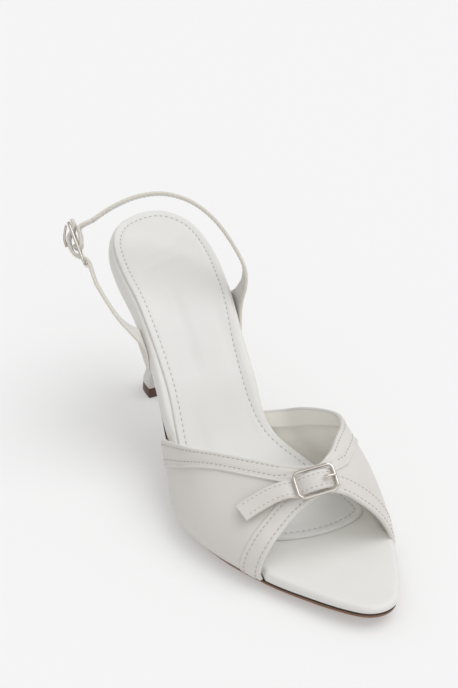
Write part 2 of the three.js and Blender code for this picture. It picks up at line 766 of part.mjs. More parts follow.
// The short strap passes under one end of the frame, over the middle bar and under the other end.
function ankleStrapShort() {
  const rows = strapRows(shortStrapRows, baseAcross.short, 26);
  const across = ankleFrame.y;
  const end = (ankleBuckleLength - wire) / 2;
  const over = barReach + strapThickness + gap;
  const add = (a, c) => rows.push({ place: inFrame(ankleFrame, a, 0, c), across, width: strapWidth });
  add(end + 1.2 * wire, -barReach - 0.1);
  add(end - 1.1 * wire, -barReach - 0.1);
  add(0.64 * end, -0.1 * barReach);
  add(0.4 * end, 0.75 * over);
  add(0.16 * end, over);
  add(-0.16 * end, over);
  add(-0.45 * end, 0.72 * over);
  add(-0.66 * end, -0.1 * barReach);
  add(0.8 * wire - end, -barReach - 0.1);
  add(-end - wire, -barReach - 0.1);
  return clearOfSole(ribbon(rows, strapThickness));
}

// The vamp buckle lies on the throat, and the strap under it ends in a free tail.
const vampFrame = placed(point(5.5, 177.4, 42.8), point(-0.93, 0.27, 0.22), point(-0.1, -0.82, 0.56));

// Places along the vamp strap: on the throat under the frame, then out to the tail's free end.
function vampStrap() {
  const end = (vampBuckleLength - wire) / 2;
  const under = wire / 2 + gap + tailThickness / 2 + 0.15;
  const rows = [];
  const add = (a, c) => {
    rows.push({ place: inFrame(vampFrame, a, 0, c), across: vampFrame.y, width: tailWidth });
  };
  add(end + wire, -under);
  add(end - 0.4 * wire, -under);
  add(0.55 * end, -0.1 * under);
  add(0.3 * end, 0.5 * wire);
  add(-0.2 * end, 0.5 * wire);
  add(-0.55 * end, -0.2 * under);
  add(0.8 * wire - end, -under);
  add(-end - 0.6 * wire, -under);
  for (const row of tailRows) {
    rows.push({ place: point(row.x, row.y, row.z), across: tailAcross, width: tailWidth });
  }
  return ribbon(rows, tailThickness);
}

// A prong comes up through its strap and rests on an end bar of its frame.
function prong(frame, rows) {
  const shape = new THREE.Shape();
  shape.absarc(0, 0, prongRadius, 0, 2 * Math.PI, false);
  const line = new THREE.CatmullRomCurve3(rows.map(([a, c]) => inFrame(frame, a, 0, c)));
  const settings = { steps: 8, curveSegments: 4, extrudePath: line, bevelEnabled: false };
  return new THREE.ExtrudeGeometry(shape, settings);
}

const onBar = wire / 2 + gap + prongRadius;

function vampProng() {
  const end = (vampBuckleLength - wire) / 2;
  const onStrap = 0.5 * wire + tailThickness / 2 + gap + prongRadius;
  return prong(vampFrame, [[0.3 * end, onStrap], [0.65 * end, onStrap], [end + 0.6, onBar]]);
}

function ankleProng() {
  const end = (ankleBuckleLength - wire) / 2;
  const onStrap = barReach + 1.5 * strapThickness + 2 * gap + prongRadius;
  return prong(ankleFrame, [[-0.1 * end, onStrap], [-0.5 * end, 0.9 * onStrap], [-end - 0.6, onBar]]);
}

const pieces = new THREE.Group();

function ankleBuckle() {
  return buckleFrame(ankleBuckleLength, ankleBuckleWidth, 0).applyMatrix4(frameMatrix(ankleFrame));
}

function vampBuckle() {
  return buckleFrame(vampBuckleLength, vampBuckleWidth, null).applyMatrix4(frameMatrix(vampFrame));
}

function add(name, geometry, colour, roughness, metalness) {
  const material = new THREE.MeshStandardMaterial({ color: colour, roughness, metalness });
  const mesh = new THREE.Mesh(geometry, material);
  mesh.name = name;
  pieces.add(mesh);
}

const leather = "#efeeea";
const soleBrown = "#8a5a3c";
const metal = "#c9c9cc";

add("outsole", outsole(), soleBrown, 0.6, 0);
add("footbed", footbedSlab(0), leather, 0.45, 0);
add("insole_sock", insoleSock(), leather, 0.5, 0);
add("heel", heel(), leather, 0.4, 0);
add("top_lift", topLift(), soleBrown, 0.6, 0);
add("upper", upper(), leather, 0.45, 0);
add("ankle_strap_long", ankleStrapLong(), leather, 0.5, 0);
add("ankle_strap_short", ankleStrapShort(), leather, 0.5, 0);
add("ankle_buckle", ankleBuckle(), metal, 0.2, 1);
add("vamp_buckle", vampBuckle(), metal, 0.2, 1);
add("vamp_strap", vampStrap(), leather, 0.5, 0);
add("vamp_prong", vampProng(), metal, 0.2, 1);
add("ankle_prong", ankleProng(), metal, 0.2, 1);

// The origin is the middle of the heel's resting face.
const shoe = new THREE.Group();
pieces.position.set(-heelCentre, -(liftFront + liftBack) / 2, 0);
shoe.add(pieces);

export default shoe;
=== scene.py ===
# A right-foot sandal with a pointed toe, a flared heel, a buckled vamp and an ankle strap.
# Shapes are worked out in millimetres from the same named sizes as the solids, then moved to metres.

import math

import bpy
import numpy as np
from mathutils import Matrix, Vector


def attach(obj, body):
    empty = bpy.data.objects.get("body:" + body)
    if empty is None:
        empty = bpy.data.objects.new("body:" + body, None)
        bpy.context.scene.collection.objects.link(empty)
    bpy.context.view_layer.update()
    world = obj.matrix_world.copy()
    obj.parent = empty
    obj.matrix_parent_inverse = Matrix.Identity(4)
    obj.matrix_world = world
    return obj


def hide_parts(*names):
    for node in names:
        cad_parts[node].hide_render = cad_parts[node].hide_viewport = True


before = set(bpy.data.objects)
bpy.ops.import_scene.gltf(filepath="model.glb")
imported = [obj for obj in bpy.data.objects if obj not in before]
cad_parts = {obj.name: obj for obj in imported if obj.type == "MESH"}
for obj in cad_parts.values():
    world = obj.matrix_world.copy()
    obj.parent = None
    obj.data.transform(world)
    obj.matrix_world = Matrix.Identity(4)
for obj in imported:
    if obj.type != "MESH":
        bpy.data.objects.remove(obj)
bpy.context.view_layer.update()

# Sizes of the last
LENGTH = 227.0
BALL_WIDTH = 74.4
WAIST_WIDTH = 46.5
HEEL_WIDTH = 50.6
SEAT_HEIGHT = 87.7
BALL_HEIGHT = 10.2
INSTEP_HEIGHT = 49.0
VAMP_REAR = 0.43
VAMP_FRONT = 0.825
SEAT_TURN = 4.7

# Sizes of the sole
GAP = 0.3
SEAM_SLACK = 0.12
SEAT_BOARD = 9.1
BALL_BOARD = 4.7
TOE_BOARD = 3.3
OUTSOLE_THICKNESS = 5.8
OUTSOLE_WAIST = 3.4
OUTSOLE_INSET = -0.4
OUTSOLE_LIFT = 9.0
OUTSOLE_TUCK = 0.25
OUTSOLE_START = 3.2
RIM_ROUND = 2.6
RIM_FLARE = 1.0
SOCK_INSET = 3.4
SOCK_INSET_HEEL = 1.3
SOCK_THICKNESS = 1.4
SOCK_FRONT = 174.5
SOCK_FRONT_RADIUS = 62.0
SOCK_SEAM = 3.4
SOCK_FOOT = 0.1
SEAT_DISH = 2.0

# Sizes of the heel
BREAST_LINE = 48.0
HEEL_CENTRE = 2.3
LIFT_HEIGHT = 5.5
LIFT_WIDTH = 18.0
LIFT_FRONT = 31.8
LIFT_BACK = 17.6
STEM_WIDTH = 9.2
LIFT_SQUARENESS = 3.0
SEAT_SQUARENESS = 2.3
HEEL_SEAM = 0.05

# Sizes of the leather
UPPER_WALL = 1.6
BAND_WIDTH = 9.0
BAND_STEP = 0.5
RIDGE_HEIGHT = 0.5
RIDGE_WIDTH = 1.2
PANEL_BULGE = 4.0
CROWN_BULGE = 1.5
MARGIN_FADE = 0.3
BULGE_REACH = 0.45
REAR_SHARE = 0.45
FRONT_SHARE = 0.42
REAR_SLANT = 1.45
LEAST_REAR = 5.6
LEAST_FRONT = 5.5
FACING_WIDTH = 4.3
EDGE_ROUND = (BAND_STEP + UPPER_WALL) / 2
STITCH_IN = 1.9
STITCH_REACH = 2.7
STITCH_SINK = 0.08
STITCH_GROOVE = 0.14
BAND_CROWN = 0.1
EDGE_DEPTH = 0.85 * EDGE_ROUND
STRAP_WIDTH = 7.6
STRAP_THICKNESS = 1.5
BASE_WIDTH = 29.0
TAIL_WIDTH = 8.4
TAIL_THICKNESS = 1.4
STRAP_STITCH_IN = 1.3
TAIL_STITCH_IN = 1.5

# Sizes of the buckles
WIRE = 1.3
VAMP_BUCKLE = (18.6, 13.0)
ANKLE_BUCKLE = (22.0, 13.5)
BUCKLE_CORNER = 3.4
PRONG_RADIUS = 0.7

# The outline seen from above: share of the half turn, the width the row follows, lateral, medial
OUTLINE = [
    (0, HEEL_WIDTH, 0, 0),
    (0.08, HEEL_WIDTH, 0.3, 0.235),
    (0.16, HEEL_WIDTH, 0.481, 0.399),
    (0.24, HEEL_WIDTH, 0.555, 0.445),
    (0.32, HEEL_WIDTH, 0.577, 0.386),
    (0.4, WAIST_WIDTH, 0.68, 0.32),
    (0.48, WAIST_WIDTH, 0.79, 0.31),
    (0.56, BALL_WIDTH, 0.6, 0.347),
    (0.64, BALL_WIDTH, 0.563, 0.421),
    (0.72, BALL_WIDTH, 0.44, 0.397),
    (0.8, BALL_WIDTH, 0.292, 0.277),
    (0.88, BALL_WIDTH, 0.17, 0.158),
    (0.95, BALL_WIDTH, 0.077, 0.073),
    (1, BALL_WIDTH, 0, 0),
]

# The side view: share of the length, share of the climb from ball to seat, board thickness
SIDE = [
    (0, 1, SEAT_BOARD),
    (0.12, 0.881, SEAT_BOARD),
    (0.25, 0.737, SEAT_BOARD),
    (0.38, 0.461, SEAT_BOARD),
    (0.5, 0.144, SEAT_BOARD),
    (0.6, 0.045, 0.6 * SEAT_BOARD + 0.4 * BALL_BOARD),
    (0.69, 0, BALL_BOARD),
    (0.84, 0, BALL_BOARD),
    (1.01, 0.011, TOE_BOARD),
]

# The heel: share of the height under the seat, half width, front and back shares of the breast line
HEEL = [
    (0.074, LIFT_WIDTH / 2, 0.656, 0.371),
    (0.15, 0.78 * STEM_WIDTH, 0.621, 0.404),
    (0.25, 0.59 * STEM_WIDTH, 0.59, 0.442),
    (0.38, 0.5 * STEM_WIDTH, 0.575, 0.458),
    (0.51, 0.5 * STEM_WIDTH, 0.575, 0.454),
    (0.61, 0.67 * STEM_WIDTH, 0.594, 0.421),
    (0.69, 0.19 * HEEL_WIDTH, 0.67, 0.352),
    (0.76, 0.3 * HEEL_WIDTH, 0.82, 0.265),
    (0.83, 0.41 * HEEL_WIDTH, 1, 0.175),
    (0.91, 0.47 * HEEL_WIDTH, 1, 0.1),
    (1.01, 0.495 * HEEL_WIDTH, 1, 0.045),
    (1.12, 0.5 * HEEL_WIDTH, 1, 0.02),
]

# The free edges of the upper, from the lateral sole over the throat to the medial sole:
# share of the way round, x by half the ball width, y by the length, z by the instep height
REAR_EDGE = [
    (0, 1.055, 0.43, 0.42),
    (0.06, 1.08, 0.452, 0.569),
    (0.15, 1.062, 0.507, 0.676),
    (0.24, 0.992, 0.553, 0.745),
    (0.32, 0.83, 0.605, 0.814),
    (0.4, 0.6, 0.661, 0.86),
    (0.47, 0.32, 0.713, 0.886),
    (0.53, 0.02, 0.752, 0.935),
    (0.57, -0.16, 0.741, 0.97),
    (0.65, -0.4, 0.706, 0.998),
    (0.72, -0.62, 0.668, 0.996),
    (0.79, -0.75, 0.622, 0.94),
    (0.86, -0.735, 0.562, 0.83),
    (0.92, -0.655, 0.508, 0.71),
    (0.97, -0.56, 0.466, 0.59),
    (1, -0.5, 0.436, 0.46),
]
FRONT_EDGE = [
    (0, 0.935, 0.813, 0.09),
    (0.06, 0.94, 0.813, 0.16),
    (0.13, 0.905, 0.813, 0.285),
    (0.2, 0.8, 0.81, 0.41),
    (0.3, 0.62, 0.802, 0.52),
    (0.4, 0.4, 0.796, 0.645),
    (0.48, 0.17, 0.797, 0.76),
    (0.54, 0, 0.8, 0.775),
    (0.6, -0.16, 0.807, 0.735),
    (0.7, -0.38, 0.819, 0.61),
    (0.8, -0.58, 0.83, 0.455),
    (0.88, -0.71, 0.836, 0.3),
    (0.95, -0.775, 0.841, 0.16),
    (1, -0.775, 0.842, 0.09),
]

# The ankle straps: place, share of the hanging direction, share of the flare to the base
LONG_STRAP = [
    (-20.2, 56.4, 55.8, 0, 0.95),
    (-20.4, 58.2, 59, 0, 0.6),
    (-20.7, 59.6, 63, 0, 0.28),
    (-21.5, 61, 68, 0.1, 0.06),
    (-22.9, 61.8, 73.5, 0.3, 0),
    (-23.6, 60.3, 80, 0.6, 0),
    (-21.6, 56, 87.6, 0.9, 0),
    (-14.7, 45.8, 100.9, 1, 0),
    (-6, 37.6, 108.6, 1, 0),
    (5, 31, 111.9, 1, 0),
    (17, 27, 110.9, 1, 0),
    (29, 25, 106.8, 1, 0),
    (38.5, 24.6, 102, 1, 0),
]
SHORT_STRAP = [
    (31.9, 65, 51.4, 0, 0.6),
    (32, 65.4, 54.4, 0, 0.42),
    (32.6, 65.8, 57.2, 0.05, 0.25),
    (34.2, 65.4, 60.2, 0.25, 0.1),
    (37, 62.6, 63.2, 0.55, 0.02),
    (40.2, 57.5, 67, 0.85, 0),
    (42.8, 50.5, 72.6, 1, 0),
    (45, 43, 79.2, 1, 0),
]
HANG_ACROSS = (0.43, 0.74, 0.52)
LONG_ACROSS = (0.17, 0.93, -0.35)
SHORT_ACROSS = (0.06, 0.82, -0.57)

# The free tail of the vamp strap
TAIL = [(17.5, 172.8, 38.9), (23, 170.6, 36.6), (29.3, 168.9, 32.9), (35.6, 167.8, 29.2)]
TAIL_ACROSS = (0.15, -0.92, 0.35)

# The camera, in metres: its place, the way behind it and above it
CAMERA_PLACE = (0.310746, 0.610012, 0.439941)
CAMERA_BACK = (0.42651, 0.74251, 0.51649)
CAMERA_UP = (-0.2194, -0.4690, 0.8555)
CAMERA_LENS = 83.94

# Soft creases of the sock: start x and y, end x and y, depth and half width
SOCK_CREASES = [
    (9, 40, 14, 92, 1.1, 4.0),
    (-8, 58, -4, 112, 0.95, 3.6),
    (-10, 22, 15, 27, 0.42, 2.6),
    (-6, 30, 18, 34, 0.34, 2.1),
    (16, 62, 24, 128, 0.75, 3.4),
]

ORIGIN = np.array([HEEL_CENTRE, (LIFT_FRONT + LIFT_BACK) / 2, 0.0])


def metres(points):
    return (np.asarray(points, float) - ORIGIN) / 1000.0


def unit(v):
    v = np.asarray(v, float)
    return v / np.maximum(np.linalg.norm(v, axis=-1, keepdims=True), 1e-12)


def reach_of(line, power=1):
    """How far along a line each of its points lies."""
    steps = np.linalg.norm(np.diff(line, axis=0), axis=1)
    return np.concatenate([[0], np.cumsum(steps**power)])


def between(at, reach, line):
    """Places on a line of straight pieces at distances along it."""
    return np.stack([np.interp(at, reach, line[:, k]) for k in range(line.shape[1])], -1)


def smoothstep(x, low, high):
    u = np.clip((np.asarray(x, float) - low) / (high - low), 0, 1)
    return u * u * (3 - 2 * u)


class Through:
    """A smooth line through the rows of a table. Unless it is free, it never swings past a row."""

    def __init__(self, at, values, free=False):
        self.at = np.asarray(at, float)
        self.values = np.asarray(values, float)
        span = np.diff(self.at)
        step = np.diff(self.values) / span
        slope = np.empty(len(self.at))
        slope[0] = step[0]
        slope[-1] = step[-1]
        before, after = step[:-1], step[1:]
        if free:
            slope[1:-1] = (before * span[1:] + after * span[:-1]) / (span[:-1] + span[1:])
        else:
            total = np.where(before * after > 0, before + after, 1.0)
            slope[1:-1] = np.where(before * after > 0, 2 * before * after / total, 0.0)
        self.slope = slope

    def __call__(self, t):
        t = np.asarray(t, float)
        i = np.clip(np.searchsorted(self.at, t, side="left") - 1, 0, len(self.at) - 2)
        span = self.at[i + 1] - self.at[i]
        u = np.clip((t - self.at[i]) / span, 0, 1)
        start = self.values[i] * (1 + 2 * u) * (1 - u) ** 2 + self.slope[i] * span * u * (1 - u) ** 2
        end = self.values[i + 1] * (3 - 2 * u) * u**2 + self.slope[i + 1] * span * (u - 1) * u**2
        return start + end


def column(rows, k):
    return [row[k] for row in rows]


lateral_at = Through(column(OUTLINE, 0), [row[1] * row[2] for row in OUTLINE], True)
medial_at = Through(column(OUTLINE, 0), [row[1] * row[3] for row in OUTLINE], True)
rise_at = Through(column(SIDE, 0), column(SIDE, 1))
board_at = Through(column(SIDE, 0), column(SIDE, 2))


def turn_of(y):
    return np.arccos(1 - 2 * np.clip(y, 0, LENGTH) / LENGTH) / math.pi


def along_of(x, y):
    return (y + x * math.tan(math.radians(SEAT_TURN))) / LENGTH


def rim_height(x, y):
    return BALL_HEIGHT + (SEAT_HEIGHT - BALL_HEIGHT) * rise_at(along_of(x, y))


def board_bottom(x, y):
    return rim_height(x, y) - board_at(along_of(x, y))


def footbed_top(x, y):
    turn = turn_of(y)
    lateral = lateral_at(turn)
    medial = medial_at(turn)
    half = (lateral + medial) / 2
    across = np.where(half > 1, (x - (lateral - medial) / 2) / np.maximum(half, 1), 0)
    room = np.minimum(1, half / (HEEL_WIDTH / 2)) ** 2
    dish = SEAT_DISH * (1 - 0.6 * smoothstep(y, 0.3 * LENGTH, 0.75 * LENGTH))
    return rim_height(x, y) - dish * room * np.maximum(0, 1 - across**2)


def outsole_top(x, y):
    return board_bottom(x, y) - GAP - SEAM_SLACK


def outsole_bottom(x, y):
    ahead = smoothstep(along_of(x, y), 0.35, 0.6)
    return np.maximum(0, outsole_top(x, y) - OUTSOLE_WAIST - (OUTSOLE_THICKNESS - OUTSOLE_WAIST) * ahead)


def recess(y):
    behind = smoothstep(y, VAMP_REAR * LENGTH - 8, VAMP_REAR * LENGTH + 8)
    ahead = 1 - smoothstep(y, VAMP_FRONT * LENGTH - 3, VAMP_FRONT * LENGTH - 0.8)
    return (GAP + UPPER_WALL) * behind * ahead


def outline_loop(steps):
    """The outline as a closed loop of plan points, lateral side first, from the heel."""
    turn = np.arange(steps + 1) / steps
    y = LENGTH * (1 - np.cos(math.pi * turn)) / 2
    lateral = np.stack([lateral_at(turn), y], 1)
    medial = np.stack([-medial_at(turn), y], 1)
    return np.concatenate([lateral[:-1], medial[:0:-1]])


def moved_loop(loop, outward):
    """The loop moved outward by one distance or one for each point, with its corners kept."""
    before = unit(loop - np.roll(loop, 1, 0))
    after = unit(np.roll(loop, -1, 0) - loop)
    along = unit(before + after)
    corner = np.maximum(0.5, np.sum(along * after, 1))
    normal = np.stack([along[:, 1], -along[:, 0]], 1)
    return loop + normal * (outward / corner)[:, None]


def make_object(name, points, faces, materials, slots=None):
    mesh = bpy.data.meshes.new(name)
    mesh.from_pydata(metres(points).tolist(), [], [list(map(int, f)) for f in faces])
    mesh.validate()
    for material in materials:
        mesh.materials.append(material)
    if slots is not None and len(slots) == len(mesh.polygons):
        mesh.polygons.foreach_set("material_index", np.asarray(slots, np.int32))
    mesh.polygons.foreach_set("use_smooth", [True] * len(mesh.polygons))
    mesh.update()
    piece = bpy.data.objects.new(name, mesh)
    bpy.context.scene.collection.objects.link(piece)
    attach(piece, "root")
    return piece


def ring_faces(rings, count):
    """Quads between rings of count points that follow one another."""
    faces = []
    for r in range(rings - 1):
        for i in range(count):
            a = r * count + i
            b = r * count + (i + 1) % count
            faces.append((a, b, b + count, a + count))
    return faces


def tube_faces(rings, count, inward=False):
    """Quads between rings and a face at each end. Inward turns them round."""
    faces = ring_faces(rings, count)
    faces.append(tuple(range(count))[::-1])
    faces.append(tuple((rings - 1) * count + i for i in range(count)))
    return [f[::-1] for f in faces] if inward else faces


def slab(rings, bottom, top, across):
    """A closed sheet. rings: loops of points from the bottom to the top, then rows across each face."""
    count = len(rings[0])
    steps = count // 2
    points = [p for ring in rings for p in ring]
    faces = ring_faces(len(rings), count)

    def cover(start, height, up):
        rows = [[start]]
        for i in range(1, steps):
            low = points[start + i]
            high = points[start + count - i]
            row = [start + i]
            share = (np.arange(1, across) / across)[:, None]
            inner = low[None, :2] + (high[None, :2] - low[None, :2]) * share
            z = height(*inner.T)
            for p, q in zip(inner, z):
                row.append(len(points))
                points.append(np.array([p[0], p[1], q]))
            row.append(start + count - i)
            rows.append(row)
        rows.append([start + steps])
        for first, second in zip(rows[:-1], rows[1:]):
            for k in range(across):
                a = first[min(k, len(first) - 1)]
                b = first[min(k + 1, len(first) - 1)]
                c = second[min(k + 1, len(second) - 1)]
                d = second[min(k, len(second) - 1)]
                face = [a, d, c, b] if up else [a, b, c, d]
                clean = [v for j, v in enumerate(face) if v != face[j - 1]]
                if len(clean) > 2:
                    faces.append(clean)

    cover(0, bottom, False)
    cover((len(rings) - 1) * count, top, True)
    return np.array(points), faces


def with_height(loop, z):
    return np.column_stack([loop, z])


def crease_depth(x, y, creases):
    """How far the listed soft troughs sink a surface at a place in plan."""
    depth = np.zeros(np.broadcast(x, y).shape)
    for x0, y0, x1, y1, deep, half in creases:
        ax = x1 - x0
        ay = y1 - y0
        reach = math.hypot(ax, ay)
        t = ((x - x0) * ax + (y - y0) * ay) / reach**2
        off = ((x - x0) * ay - (y - y0) * ax) / reach
        ends = smoothstep(t, -0.1, 0.3) * (1 - smoothstep(t, 0.7, 1.1))
        depth = depth + deep * ends * np.exp(-((off / half) ** 2))
    return depth


# The footbed's rim: outward shift and share of the board's height
RIM = [
    (-1.5, 0.0),
    (0.2, 0.03),
    (0.75 * RIM_FLARE, 0.12),
    (RIM_FLARE, 0.28),
    (0.95 * RIM_FLARE, 0.45),
    (0.55 * RIM_FLARE, 0.68),
    (0.12 * RIM_FLARE, 0.82),
    (-0.22 * RIM_ROUND, 0.93),
    (-0.55 * RIM_ROUND, 0.985),
    (-0.95 * RIM_ROUND, 1.0),
]


def spline(rows, count):
    """Points evenly spread along a free smooth line through rows of numbers."""
    rows = np.asarray(rows, float)
    reach = reach_of(rows)
    t = np.linspace(0, reach[-1], count)
    return np.stack([Through(reach, rows[:, k], True)(t) for k in range(rows.shape[1])], 1)


def make_footbed(material):
    loop = outline_loop(220)
    rings = []
    for outward, share in spline(RIM, 22):
        plan = moved_loop(loop, outward - recess(loop[:, 1]))
        low = board_bottom(*plan.T)
        high = footbed_top(*plan.T)
        rings.append(with_height(plan, low + share * (high - low)))
    points, faces = slab(rings, board_bottom, footbed_top, 36)
    return make_object("footbed_wrap", points, faces, [material])


def sock_loop():
    """The sock's outline: the footbed's, moved in, and closed by an arc behind the toe."""
    outer = outline_loop(400)
    ahead = smoothstep(outer[:, 1], 0.25 * LENGTH, 0.42 * LENGTH)
    inner = moved_loop(outer, -SOCK_INSET_HEEL - (SOCK_INSET - SOCK_INSET_HEEL) * ahead)
    middle = (lateral_at(0.68) - medial_at(0.68)) / 2 - 0.13 * BALL_WIDTH
    centre = np.array([middle, SOCK_FRONT - SOCK_FRONT_RADIUS])
    off = inner - centre
    behind = (off[:, 1] < 0) | (np.linalg.norm(off, axis=1) < SOCK_FRONT_RADIUS)
    half = len(outer) // 2
    lateral = inner[:half][behind[:half]]
    medial = inner[half:][behind[half:]][::-1]
    start = math.atan2(*(lateral[-1] - centre)[::-1])
    stop = math.atan2(*(medial[-1] - centre)[::-1])
    angle = np.linspace(start, stop, 82)[1:-1]
    arc = centre + SOCK_FRONT_RADIUS * np.stack([np.cos(angle), np.sin(angle)], 1)

    def resample(side):
        reach = reach_of(side)
        return between(np.linspace(0, reach[-1], 260), reach, side)

    lateral = resample(lateral)
    medial = resample(np.concatenate([lateral[:1], medial[1:]]))
    half = len(arc) // 2
    front = np.concatenate([lateral, arc[:half]])
    back = np.concatenate([medial, arc[half + 1 :][::-1]])
    loop = np.concatenate([front, [arc[half]], back[:0:-1]])
    for _ in range(70):
        even = (np.roll(loop, 1, 0) + 2 * loop + np.roll(loop, -1, 0)) / 4
        loop = np.where(loop[:, 1:] > 0.55 * LENGTH, even, loop)
    return loop


def sock_bottom(x, y):
    return footbed_top(x, y) + SOCK_FOOT


def sock_height(x, y):
    return footbed_top(x, y) + GAP + SOCK_THICKNESS - crease_depth(x, y, SOCK_CREASES)


# The groove along the sock's seam, depth and half width, and how far in from its edge each ring lies
SOCK_GROOVE = [(0.22, 0.6), (0.14, 2.0)]
SOCK_RINGS = [0, 0.1, 0.25, 0.45, 0.7, 1.0, 1.5, 2.1, 2.6, 3.0, 3.25, 3.4, 3.55, 3.8, 4.2, 5.0, 6.2]


def make_sock(material):
    loop = sock_loop()
    rings = [with_height(loop, sock_bottom(*loop.T))]
    for d in SOCK_RINGS:
        plan = moved_loop(loop, -d)
        edge = min(1.0, d / 1.1)
        rise = math.sqrt(max(0.0, 1 - (1 - edge) ** 2))
        seam = sum(depth * math.exp(-(((d - SOCK_SEAM) / half) ** 2)) for depth, half in SOCK_GROOVE)
        seam *= 1 - float(smoothstep(d, 4.0, SOCK_RINGS[-1]))
        base = sock_bottom(*plan.T)
        z = base + (sock_height(*plan.T) - base) * (0.25 + 0.75 * rise) - seam
        rings.append(with_height(plan, z))
    points, faces = slab(rings, sock_bottom, sock_height, 44)
    return make_object("sock_padded", points, faces, [material])


def drawn_in(loop, inward):
    """The loop drawn towards the sole's middle line, which takes its pointed end back too."""
    y = np.clip(loop[:, 1], 14, LENGTH - 14)
    turn = turn_of(y)
    way = np.stack([(lateral_at(turn) - medial_at(turn)) / 2, y], 1) - loop
    reach = np.linalg.norm(way, axis=1)
    return loop + way * (np.minimum(inward, 0.6 * reach) / reach)[:, None]


# The outsole's edge: outward shift and share of its height
SOLE_EDGE = [
    (-OUTSOLE_LIFT, 0),
    (-0.65 * OUTSOLE_LIFT, 0.16),
    (-0.4 * OUTSOLE_LIFT, 0.34),
    (-0.2 * OUTSOLE_LIFT, 0.49),
    (-0.6, 0.62),
    (-0.15, 0.68),
    (0, 0.75),
    (0, 0.88),
    (-0.5, 0.91),
    (-0.5, 1),
]


def make_outsole(materials):
    """The outsole. materials: its sole, its edge and the dark line under the upper, which is painted
    shadow in the gap there.
    """
    loop = outline_loop(200)
    count = len(loop)
    under_heel = 1.2 * (1 - smoothstep(loop[:, 1], BREAST_LINE - 1, BREAST_LINE + 3))
    under_heel += 1.6 * (1 - smoothstep(loop[:, 1], BREAST_LINE + 4, BREAST_LINE + 40))
    rings = []
    for outward, share in SOLE_EDGE:
        plan = drawn_in(loop, OUTSOLE_INSET - outward + under_heel)
        low = outsole_bottom(*plan.T)
        rings.append(with_height(plan, low + share * (outsole_top(*plan.T) + OUTSOLE_TUCK - low)))
    points, faces = slab(rings, outsole_bottom, lambda x, y: outsole_top(x, y) + OUTSOLE_TUCK, 24)
    keep = [f for f in faces if min(points[v][1] for v in f) > BREAST_LINE - OUTSOLE_START]
    slots = []
    for f in keep:
        ring = min(f) // count if max(f) < len(SOLE_EDGE) * count else 0
        # The faces from edge ring 7 up, the recessed groove, take the third material: painted shadow in
        # the gap under the rim.
        slots.append(2 if ring >= 7 else 1 if ring >= 3 else 0)
    return make_object("outsole_leather", points, keep, materials, slots)


SEAT_MIDDLE = (OUTLINE[3][2] - OUTLINE[3][3]) * 0.5 * HEEL_WIDTH
heel_half = Through(column(HEEL, 0), column(HEEL, 1))
heel_front = Through(column(HEEL, 0), [row[2] * BREAST_LINE for row in HEEL])
heel_back = Through(column(HEEL, 0), [row[3] * BREAST_LINE for row in HEEL])


def d_shape(angle, square):
    """Shares across and behind of a section that is flat at the front and round behind."""
    across = np.sign(np.cos(angle)) * np.abs(np.cos(angle)) ** (2 / square)
    return across, np.maximum(np.sin(angle), 0) ** (2 / square)


def d_ring(x, y, z):
    """A ring of places: the round part, then the flat front."""
    arc = np.stack([x, y, z], 1)
    share = np.linspace(0, 1, 30)[1:-1, None]
    return np.concatenate([arc, arc[-1] + (arc[0] - arc[-1]) * share])


def heel_section(up, angle):
    """A place on the heel."""
    middle = HEEL_CENTRE + (SEAT_MIDDLE - HEEL_CENTRE) * smoothstep(up, 0.5, 1)
    square = LIFT_SQUARENESS + (SEAT_SQUARENESS - LIFT_SQUARENESS) * smoothstep(up, 0.1, 0.6)
    across, behind = d_shape(angle, square)
    x = middle - heel_half(up) * across
    y = heel_front(up) - (heel_front(up) - heel_back(up)) * behind
    return x, y


def make_heel(material):
    under = SEAT_HEIGHT - SEAT_BOARD
    angle = np.linspace(0, math.pi, 97)
    low = (LIFT_HEIGHT + 0.06) / under
    top = np.full(len(angle), 0.95)
    for _ in range(40):
        x, y = heel_section(top, angle)
        top = 0.5 * top + 0.5 * np.clip((board_bottom(x, y) - HEEL_SEAM) / under, 0.5, 1.12)
    rings = []
    levels = 110
    for i in range(levels + 1):
        up = low + (top - low) * i / levels
        x, y = heel_section(up, angle)
        rings.append(d_ring(x, y, up * under))
    front = rings[-1][len(angle) :]
    front[:, 2] = board_bottom(*front[:, :2].T) - HEEL_SEAM
    faces = tube_faces(len(rings), len(rings[0]))
    return make_object("heel_cover", np.concatenate(rings), faces, [material])


def make_top_lift(material):
    across, behind = d_shape(np.linspace(0, math.pi, 97), LIFT_SQUARENESS)
    rings = []
    for z, grow in [(0, -0.5), (0.12, -0.2), (0.4, 0), (LIFT_HEIGHT - 0.35, -0.25), (LIFT_HEIGHT, -0.5)]:
        x = HEEL_CENTRE - (LIFT_WIDTH / 2 + grow) * across
        y = LIFT_FRONT + grow - (LIFT_FRONT - LIFT_BACK + 2 * grow) * behind
        rings.append(d_ring(x, y, np.full(len(x), z)))
    faces = tube_faces(len(rings), len(rings[0]))
    return make_object("lift_brown", np.concatenate(rings), faces, [material])


def sole_margin(lateral, y):
    side = lateral_at if lateral else medial_at
    widening = (side(turn_of(y + 1)) - side(turn_of(y - 1))) / 2
    outward = unit(np.stack([np.ones_like(y), -widening], -1)) * RIM_FLARE
    x = side(turn_of(y)) + outward[..., 0]
    x = x if lateral else -x
    y = y + outward[..., 1]
    return np.stack([x, y, outsole_top(x, y) + GAP], -1)


class EdgeCurve:
    """A free edge of the upper, whose ends lie on the sole's margin."""

    def __init__(self, rows):
        places = np.array([(r[1] * BALL_WIDTH / 2, r[2] * LENGTH, r[3] * INSTEP_HEIGHT) for r in rows])
        places[0] = sole_margin(True, np.array(places[0][1]))
        places[-1] = sole_margin(False, np.array(places[-1][1]))
        self.lines = [Through(column(rows, 0), places[:, k], True) for k in range(3)]

    def __call__(self, t):
        return np.stack([line(t) for line in self.lines], -1)


rear_curve = EdgeCurve(REAR_EDGE)
front_curve = EdgeCurve(FRONT_EDGE)


